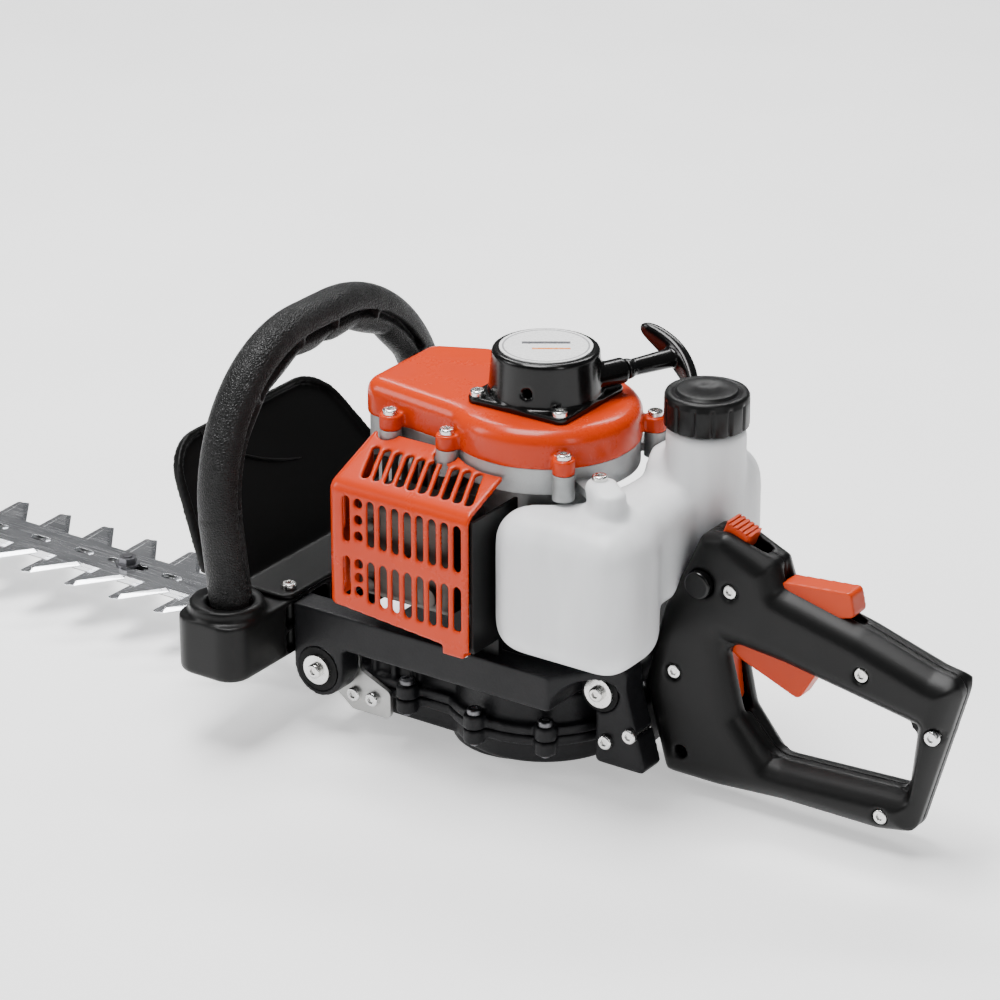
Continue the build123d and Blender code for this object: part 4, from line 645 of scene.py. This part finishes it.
def loop_line():
    """Centre points of the loop from foot to foot."""
    low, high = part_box("front_handle")
    half = (high[1] - low[1]) / 2 - TUBE_RADIUS
    foot_half = half - LOOP_SPREAD
    foot = low[2] + LOOP_LEAN * TUBE_RADIUS
    top = high[2] - TUBE_RADIUS
    flat = half - LOOP_RADIUS - 0.0005
    spring = top - LOOP_RADIUS
    x_foot = high[0] - TUBE_RADIUS
    x_top = low[0] + TUBE_RADIUS
    points = []
    for i in range(LEG_ROWS):
        up = i / LEG_ROWS
        points.append((-foot_half - LOOP_SPREAD * up, foot + (spring - foot) * up))
    for i in range(ARC_ROWS):
        turn = math.pi / 2 * i / ARC_ROWS
        points.append((-flat - LOOP_RADIUS * math.cos(turn), spring + LOOP_RADIUS * math.sin(turn)))
    points += [(-flat + flat * i / (FLAT_ROWS - 1), top) for i in range(FLAT_ROWS)]
    points += [(-y, z) for y, z in points[-2::-1]]
    return [Vector((x_foot + (x_top - x_foot) * (z - foot) / (top - foot), y, z)) for y, z in points]


line = loop_line()
print("loop", len(line), "rings")


# %% Loop with grips and channel
GRIPS = 6
GRIP_RISE = 0.0050
CHANNEL_DEPTH = 0.0050
CHANNEL_WIDTH = 0.17
CHANNEL_TURN = math.radians(72)
WEB_AT = (0.07, 0.20, 0.33, 0.43, 0.52, 0.61, 0.72, 0.84, 0.94)
WEB_HALF = 0.003
WEB_SLOPE = 0.003
GRIPS_START = 0.27
GRIPS_SPAN = 0.46
SKIN_INSET = 0.0006
RING_POINTS = 120


def loop_radius(turn, along):
    """Radius of the tube at an angle from the inside of the loop, 0 to 1 along it."""
    radius = TUBE_RADIUS
    over_top = max(0.0, 1 - ((along - 0.5) / (GRIPS_SPAN / 2)) ** 4)
    inside = max(0.0, math.cos(turn)) ** 2.2
    wave = abs(math.sin(math.pi * GRIPS * (along - GRIPS_START) / GRIPS_SPAN)) ** 0.7
    radius += GRIP_RISE * inside * over_top * (0.35 + 0.65 * wave) - SKIN_INSET
    web = min(abs(along - at) for at in WEB_AT)
    between_ends = 0.02 < along < 0.98
    open_here = min(1.0, max(0.0, (web - WEB_HALF) / WEB_SLOPE)) if between_ends else 0.0
    groove = math.exp(-(((turn - CHANNEL_TURN) / CHANNEL_WIDTH) ** 4))
    return radius - CHANNEL_DEPTH * groove * open_here


def front_handle_mesh():
    rings = []
    for i, centre in enumerate(line):
        ahead = line[min(i + 1, len(line) - 1)] - line[max(i - 1, 0)]
        ahead.normalize()
        side = Vector((1, 0, 0)) - ahead * ahead.x
        side.normalize()
        inward = ahead.cross(side).normalized()
        along = i / (len(line) - 1)
        ring = []
        for j in range(RING_POINTS):
            turn = 2 * math.pi * j / RING_POINTS - math.pi
            radius = loop_radius(turn, along)
            ring.append(centre + inward * radius * math.cos(turn) + side * radius * math.sin(turn))
        rings.append(ring)
    return to_mesh("front_handle_skin", loft(rings))


add_piece("front_handle_loop", front_handle_mesh(), "grip_black", "front_handle")

# %% [markdown]
# ## Fuel tank
#
# The tank is one blow-moulded shell: a large near lobe, a saddle behind the crankcase and a
# shoulder that rises to the neck. Blown shells have no crisp inner corners, so rounded boxes are
# melted together by a voxel remesh and relaxed, and then the room for the engine is cut out.

# %% Tank lobes
EAR_TURNS = (-32, 43)
FAN_LUGS = ((0.041, -0.044), (0.049, 0.038))
EAR_RADIUS = 0.0095
CASE_ROOM = 0.0455
FAN_ROOM = 0.0608
LUG_ROOM = 0.0078
NECK_RADIUS = 0.0228


def ear_spot(turn, reach):
    return Matrix.Rotation(math.radians(turn), 3, "Z") @ Vector((reach, 0, 0))


def tank_lobes():
    """The outer form: near lobe, saddle, far shoulder, neck and two ears."""
    low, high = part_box("fuel_tank")
    cap_low, cap_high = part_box("fuel_cap")
    neck = [(a + b) / 2 for a, b in zip(cap_low, cap_high)]
    lobes = bmesh.new()
    rounded_box(lobes, (low[0], low[1], low[2] + 0.009), (0.1005, -0.023, 0.1735), 0.019)
    rounded_box(lobes, (0.046, -0.050, 0.113), (0.098, 0.052, 0.1775), 0.016)
    rounded_box(lobes, (0.046, 0.004, 0.113), (high[0] - 0.0005, high[1], 0.1905), 0.022)
    post(lobes, neck[0], neck[1], 0.15, cap_low[2] + 0.0115, NECK_RADIUS)
    for turn in EAR_TURNS:
        for reach, top in ((0.0745, 0.1905), (0.085, 0.1885)):
            spot = ear_spot(turn, reach)
            post(lobes, spot.x, spot.y, 0.160, top, EAR_RADIUS)
    return relaxed("tank_lobes", to_mesh("tank_lobes", lobes), 0.002, 14)


# %% Room in the tank for the engine
def cut_room(shell, name, posts):
    """Takes round posts, each (x, y, low z, high z, radius), out of a mesh."""
    room = bmesh.new()
    for x, y, low_z, high_z, radius in posts:
        post(room, x, y, low_z, high_z, radius)
    return boolean("tank_" + name, shell, to_mesh(name, room), "DIFFERENCE")


def tank_mesh():
    shell = cut_room(tank_lobes(), "room", [(0, 0, 0.0, 0.1685, CASE_ROOM)])
    shell = cut_room(shell, "room_top", [(0, 0, 0.166, 0.3, FAN_ROOM)])
    shell = cut_room(shell, "room_lugs", [(x, y, 0.1755, 0.3, LUG_ROOM) for x, y in FAN_LUGS])
    ears = []
    for turn in EAR_TURNS:
        spot = ear_spot(turn, 0.072)
        ears.append((spot.x, spot.y, 0.1765, 0.1842, 0.0085))
        ears.append((spot.x, spot.y, 0.17, 0.2, 0.0028))
    shell = cut_room(shell, "room_ears", ears)
    return relaxed("fuel_tank_skin", shell, 0.0013, 4)


add_piece("fuel_tank_shell", tank_mesh(), "tank_white", "fuel_tank")

# %% [markdown]
# ## Filler cap
#
# The cap is a turned form with grip flats round its skirt and a raised disc on top. One lathe
# profile gives it, and a wave in the radius of the skirt's rows gives the grips.

# %% Filler cap
CAP_GRIPS = 14


def cap_wave(angle):
    return 1.0 - 0.045 * max(0.0, math.cos(CAP_GRIPS * angle)) ** 6


def filler_cap():
    low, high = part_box("fuel_cap")
    centre = ((low[0] + high[0]) / 2, (low[1] + high[1]) / 2)
    radius = (high[0] - low[0]) / 2
    top = high[2] - 0.0014
    skirt = low[2] + 0.0123
    inner = radius - 0.0045
    profile = [
        (inner - 0.0006, low[2] + 0.0002, False),
        (inner - 0.0006, skirt + 0.0002, False),
        (radius - 0.0012, skirt, True),
        (radius, skirt + 0.0009, True),
        (radius, top - 0.0052, True),
        (radius, top - 0.0044, True),
        (radius * 0.995, top - 0.0042, False),
        (radius * 0.995, top - 0.0020, False),
        (radius - 0.0010, top - 0.0004, False),
        (radius - 0.0022, top, False),
        (radius - 0.0052, top, False),
        (radius - 0.0056, top - 0.0006, False),
        (radius - 0.0062, top - 0.0006, False),
        (radius - 0.0066, top + 0.0012, False),
        (radius - 0.0074, top + 0.0014, False),
        (0.0060, top + 0.0014, False),
        (0.0055, top + 0.0010, False),
        (0.0004, top + 0.0010, False),
    ]
    return to_mesh("filler_cap", lathe(profile, centre, 252, cap_wave))


add_piece("filler_cap", filler_cap(), "black_plastic", "fuel_cap", "cap")

# %% [markdown]
# ## Pull grip
#
# The starter's grip has a tapered stem and a bowed paddle across it that two fingers hook round.
# The paddle is lofted along its bow: broad and thin in the middle, drawn in at both ends.

# %% Pull grip
GRIP_TURN = math.radians(68)
GRIP_TWIST = math.radians(26)
GRIP_SIDE = 0.018
GRIP_START = 0.0415
STEM_LENGTH = 0.036
STEM_ROWS = 15
PADDLE_HALF = 0.0285
PADDLE_ROWS = 41
PADDLE_BOW = 0.007
GRIP_COUNT = 32


def pull_grip():
    low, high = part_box("starter_rope")
    out = Vector((math.cos(GRIP_TURN), math.sin(GRIP_TURN), 0))
    across = Vector((math.sin(GRIP_TURN), -math.cos(GRIP_TURN), 0))
    start = across * GRIP_SIDE + out * GRIP_START + Vector((0, 0, (low[2] + high[2]) / 2))
    flat = Matrix.Rotation(GRIP_TWIST, 3, out) @ across
    thick = out.cross(flat).normalized()
    stem = []
    for i in range(STEM_ROWS):
        t = i / (STEM_ROWS - 1)
        collar = 0.0012 if t < 0.12 else 0.0
        wide = 0.0050 + 0.0014 * t + collar
        tall = 0.0046 + 0.0004 * t + collar
        ring = []
        for j in range(GRIP_COUNT):
            turn = 2 * math.pi * j / GRIP_COUNT
            spot = start + out * (STEM_LENGTH * t)
            ring.append(spot + flat * wide * math.cos(turn) + thick * tall * math.sin(turn))
        stem.append(ring)
    shape = loft(stem)
    paddle = []
    for i in range(PADDLE_ROWS):
        t = 2 * i / (PADDLE_ROWS - 1) - 1
        end = max(0.02, 1 - abs(t) ** 6) ** 0.5
        centre = start + out * (0.0365 - PADDLE_BOW * t * t) + flat * PADDLE_HALF * t
        wide = 0.0078 * end * (0.86 + 0.14 * math.cos(math.pi * t))
        deep = 0.0040 * end
        ring = []
        for j in range(GRIP_COUNT):
            turn = 2 * math.pi * j / GRIP_COUNT
            c = math.copysign(abs(math.cos(turn)) ** 0.6, math.cos(turn))
            s = math.copysign(abs(math.sin(turn)) ** 0.6, math.sin(turn))
            ring.append(centre + thick * wide * c + out * deep * s)
        paddle.append(ring)
    bar = to_mesh("paddle", loft(paddle))
    return boolean("pull_grip", to_mesh("pull_grip_stem", shape), bar, "UNION")


grip_skin = relaxed("pull_grip_skin", pull_grip(), 0.0007, 6)
add_piece("pull_grip_paddle", grip_skin, "black_gloss", "starter_grip", "pull_grip")

# %% [markdown]
# ## Blades
#
# Each blade is a steel spine with raked teeth on both sides, and every tooth is ground to a bevel
# along its flanks. The bevel catches the light, so it is real geometry: a tooth is a low frustum,
# wide below and narrower above for the upper blade, and the other way up for the lower one.

# %% Blade from teeth, spine and slots
TOOTH_PITCH = 0.035
TOOTH_FIRST = -0.190
TOOTH_COUNT = 17
TOOTH_BASE = 0.025
TOOTH_RAKE = 0.011
TOOTH_POINT = 0.0046
SPINE_HALF = 0.015
GRIND = 0.0030
TIP_GRIND = 1.4
TIP_PINCH = 0.75
TIP_CORNER = 0.0012
EDGE_LAND = 0.3
TOOTH_SINK = 0.004


def add_tooth(shape, x, side, z_wide, z_narrow, tip_half):
    root = SPINE_HALF - TOOTH_SINK
    outline = [
        (x + TOOTH_BASE / 2, side * root),
        (x - TOOTH_RAKE + TOOTH_POINT / 2, side * (tip_half - TIP_CORNER)),
        (x - TOOTH_RAKE + TOOTH_POINT / 4, side * tip_half),
        (x - TOOTH_RAKE - TOOTH_POINT / 4, side * tip_half),
        (x - TOOTH_RAKE - TOOTH_POINT / 2, side * (tip_half - TIP_CORNER)),
        (x - TOOTH_BASE / 2, side * root),
    ]
    tip_middle = x - TOOTH_RAKE
    tip_y = side * (tip_half - GRIND * TIP_GRIND)
    narrow = [(px + (tip_middle - px) * TIP_PINCH, tip_y) for px, _ in outline]
    narrow[0] = (outline[0][0] - GRIND, side * root)
    narrow[-1] = (outline[-1][0] + GRIND, side * root)
    middle = z_wide + (z_narrow - z_wide) * EDGE_LAND
    rings = []
    for z, points in ((z_wide, outline), (middle, outline), (z_narrow, narrow)):
        rings.append([shape.verts.new((p[0], p[1], z)) for p in points])
    count = len(outline)
    for lower, upper in zip(rings, rings[1:]):
        for i in range(count):
            j = (i + 1) % count
            shape.faces.new((lower[i], lower[j], upper[j], upper[i]))
    shape.faces.new(rings[0][::-1])
    shape.faces.new(rings[-1])


BOLT_FIRST = -0.170
BOLT_STEP = 0.140
BOLT_COUNT = 5
SLOT_LONG = 0.0305
SLOT_SHORT = 0.015
SLOT_WIDE = 0.0062
SLOT_LAND = 0.009
SLOT_REACH = 0.01
SLOT_SIDES = 24


def add_slot(shape, x, length, z):
    """A round-ended slot, as the tool that cuts it."""
    ring = []
    for i in range(SLOT_SIDES):
        turn = 2 * math.pi * (i + 0.5) / SLOT_SIDES
        end = math.copysign((length - SLOT_WIDE) / 2, math.cos(turn))
        ring.append((x + end + SLOT_WIDE / 2 * math.cos(turn), SLOT_WIDE / 2 * math.sin(turn)))
    low = [shape.verts.new((px, py, z - SLOT_REACH)) for px, py in ring]
    high = [shape.verts.new((px, py, z + SLOT_REACH)) for px, py in ring]
    for i in range(SLOT_SIDES):
        j = (i + 1) % SLOT_SIDES
        shape.faces.new((low[i], low[j], high[j], high[i]))
    shape.faces.new(low[::-1])
    shape.faces.new(high)


def blade_mesh(node, upper, shift):
    low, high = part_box(node)
    tip = (high[1] - low[1]) / 2
    z_wide, z_narrow = (low[2], high[2]) if upper else (high[2], low[2])
    teeth = bmesh.new()
    for i in range(TOOTH_COUNT):
        for side in (-1, 1):
            add_tooth(teeth, TOOTH_FIRST - TOOTH_PITCH * (i + 0.5) + shift, side, z_wide, z_narrow, tip)
    spine = bmesh.new()
    bmesh.ops.create_cube(spine, size=1.0)
    size = (high[0] - low[0], 2 * SPINE_HALF, high[2] - low[2])
    bmesh.ops.scale(spine, vec=size, verts=spine.verts)
    middle = ((low[0] + high[0]) / 2, 0, (low[2] + high[2]) / 2)
    bmesh.ops.translate(spine, vec=middle, verts=spine.verts)
    shell = boolean(node + "_body", to_mesh("spine", spine), to_mesh("teeth", teeth), "UNION")
    slots = bmesh.new()
    bolts = [BOLT_FIRST - BOLT_STEP * i for i in range(BOLT_COUNT)]
    for x in bolts:
        add_slot(slots, x, SLOT_LONG, middle[2])
    for i in range(TOOTH_COUNT):
        x = TOOTH_FIRST - TOOTH_PITCH * (i + 0.5)
        if min(abs(x - bolt) for bolt in bolts) > SLOT_LONG / 2 + SLOT_LAND:
            add_slot(slots, x + shift, SLOT_SHORT, middle[2])
    return boolean(node + "_slots", shell, to_mesh("slots", slots), "DIFFERENCE")


BLADE_SHIFT = 0.0025
upper = blade_mesh("upper_blade", True, BLADE_SHIFT)
lower = blade_mesh("lower_blade", False, -BLADE_SHIFT)
add_piece("upper_blade_ground", upper, "blade_steel", "upper_blade", "upper_cutter", smooth=False)
add_piece("lower_blade_ground", lower, "blade_steel", "lower_blade", "lower_cutter", smooth=False)

# %% [markdown]
# ## Covers and castings
#
# The covers, bracket, guard, frame, gear case and levers have the right form in the CAD model,
# but a mould or a casting has no sharp edge. Each is remeshed to small even faces and relaxed.
# The fineness follows the thinnest wall: 0.8 mm for the slotted muffler cover.

# %% Softened covers
SOFTENED = (
    ("fan_cover", "orange_gloss", 0.0010, 10),
    ("muffler_cover", "orange_gloss", 0.0008, 5),
    ("handle_bracket", "black_plastic", 0.0013, 6),
    ("front_guard", "shield_black", 0.0011, 5),
    ("gearcase_upper", "case_black", 0.0013, 6),
    ("gearcase_lower", "case_black", 0.0013, 6),
    ("main_frame", "case_black", 0.0013, 6),
    ("starter_housing", "black_gloss", 0.0009, 5),
    ("throttle_trigger", "orange_plastic", 0.0007, 6),
    ("lockout_lever", "orange_plastic", 0.0007, 6),
)
body_of_node = {
    node: body for body, nodes in frame["record"]["behaviour"]["bodies"].items() for node in nodes
}
for node, finish, voxel, rounds in SOFTENED:
    add_piece(node + "_moulded", softened(node, voxel, rounds), finish, node, body_of_node[node])

# %% [markdown]
# ## Rear handle
#
# The rear handle is two shells that meet in a flat seam. Across the grip the shells are strongly
# rounded, so that a hand closes round them. The softened CAD shell keeps its screw wells, and
# then every point moves towards the seam by an amount that grows near the outline, which turns
# the flat side into a crowned one.

# %% Crowned shells
HANDLE_OUTER = (
    (91, 9), (76, 62), (88, 112), (104, 145), (111, 161), (126, 164), (157, 153), (162, 139.5),
    (212, 127.5), (256, 114), (275, 111), (248, 13), (226, 9),
)
HANDLE_OPENING = ((127, 100), (247, 79), (243, 38), (158, 34), (138, 56))
CROWN_WIDTH = 0.013
CROWN_DEPTH = 0.62
GRIP_FROM = 0.125
GRIP_BLEND = 0.04


def distance_to(outline, x, z):
    best = 1.0
    for i, (x1, z1) in enumerate(outline):
        x0, z0 = outline[i - 1]
        ax, az, bx, bz = x0 * MM, z0 * MM, x1 * MM, z1 * MM
        length = (bx - ax) ** 2 + (bz - az) ** 2
        t = max(0.0, min(1.0, ((x - ax) * (bx - ax) + (z - az) * (bz - az)) / length))
        best = min(best, math.hypot(x - ax - t * (bx - ax), z - az - t * (bz - az)))
    return best


def crowned(shell):
    for vert in shell.vertices:
        x, y, z = vert.co
        near = min(distance_to(HANDLE_OUTER, x, z), distance_to(HANDLE_OPENING, x, z))
        grip = max(0.0, min(1.0, (x - GRIP_FROM) / GRIP_BLEND))
        fall = max(0.0, 1 - near / CROWN_WIDTH) ** 2 * (0.35 + 0.65 * grip)
        vert.co.y = y * (1 - CROWN_DEPTH * fall)
    return shell


for side in ("left", "right"):
    node = "rear_handle_" + side
    add_piece(node + "_shell", crowned(softened(node, 0.0012, 8)), "black_plastic", node)


# %% [markdown]
# ## Rib of the guard
#
# The hand guard is a thin moulding, so a lip and a curved rib stiffen it. The rib here is a slim
# round bead, half sunk in the skin, that follows an arc on the face towards the engine. Each point
# of its line is dropped on to the softened guard along X, so the bead sits right whatever lean
# the guard has.

# %% Guard rib
RIB_RADIUS = 0.0011
RIB_STEPS = 36
RIB_POINTS = 12
RIB_CENTRE = (0.052, 0.100)
RIB_REACH = (0.105, 0.060)
RIB_FROM = 8
RIB_SWEEP = 66


def guard_rib(arc):
    """A bead on the engine side of the guard along (y, z) points."""
    skin = bmesh.new()
    skin.from_mesh(bpy.data.objects["front_guard_moulded"].data)
    surface = BVHTree.FromBMesh(skin)
    line = []
    for y, z in arc:
        spot = surface.ray_cast(Vector((0.05, y, z)), Vector((-1, 0, 0)))[0]
        if spot:
            line.append(spot)
    skin.free()
    rings = []
    for i, centre in enumerate(line):
        ahead = (line[min(i + 1, len(line) - 1)] - line[max(i - 1, 0)]).normalized()
        side = ahead.cross(Vector((1, 0, 0))).normalized()
        up = side.cross(ahead)
        taper = min(1.0, 0.25 + 4 * min(i, len(line) - 1 - i) / len(line))
        ring = []
        for j in range(RIB_POINTS):
            turn = 2 * math.pi * j / RIB_POINTS
            ring.append(centre + RIB_RADIUS * taper * (side * math.cos(turn) + up * math.sin(turn)))
        rings.append(ring)
    print("rib points", len(rings))
    return to_mesh("guard_rib", loft(rings))


guard_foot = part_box("front_guard")[0][2]
arc = []
for i in range(RIB_STEPS + 1):
    turn = math.radians(RIB_FROM + RIB_SWEEP * i / RIB_STEPS)
    y = RIB_CENTRE[0] - RIB_REACH[0] * math.cos(turn)
    arc.append((y, guard_foot + RIB_CENTRE[1] - RIB_REACH[1] * math.sin(turn)))
add_piece("front_guard_rib", guard_rib(arc), "shield_black")
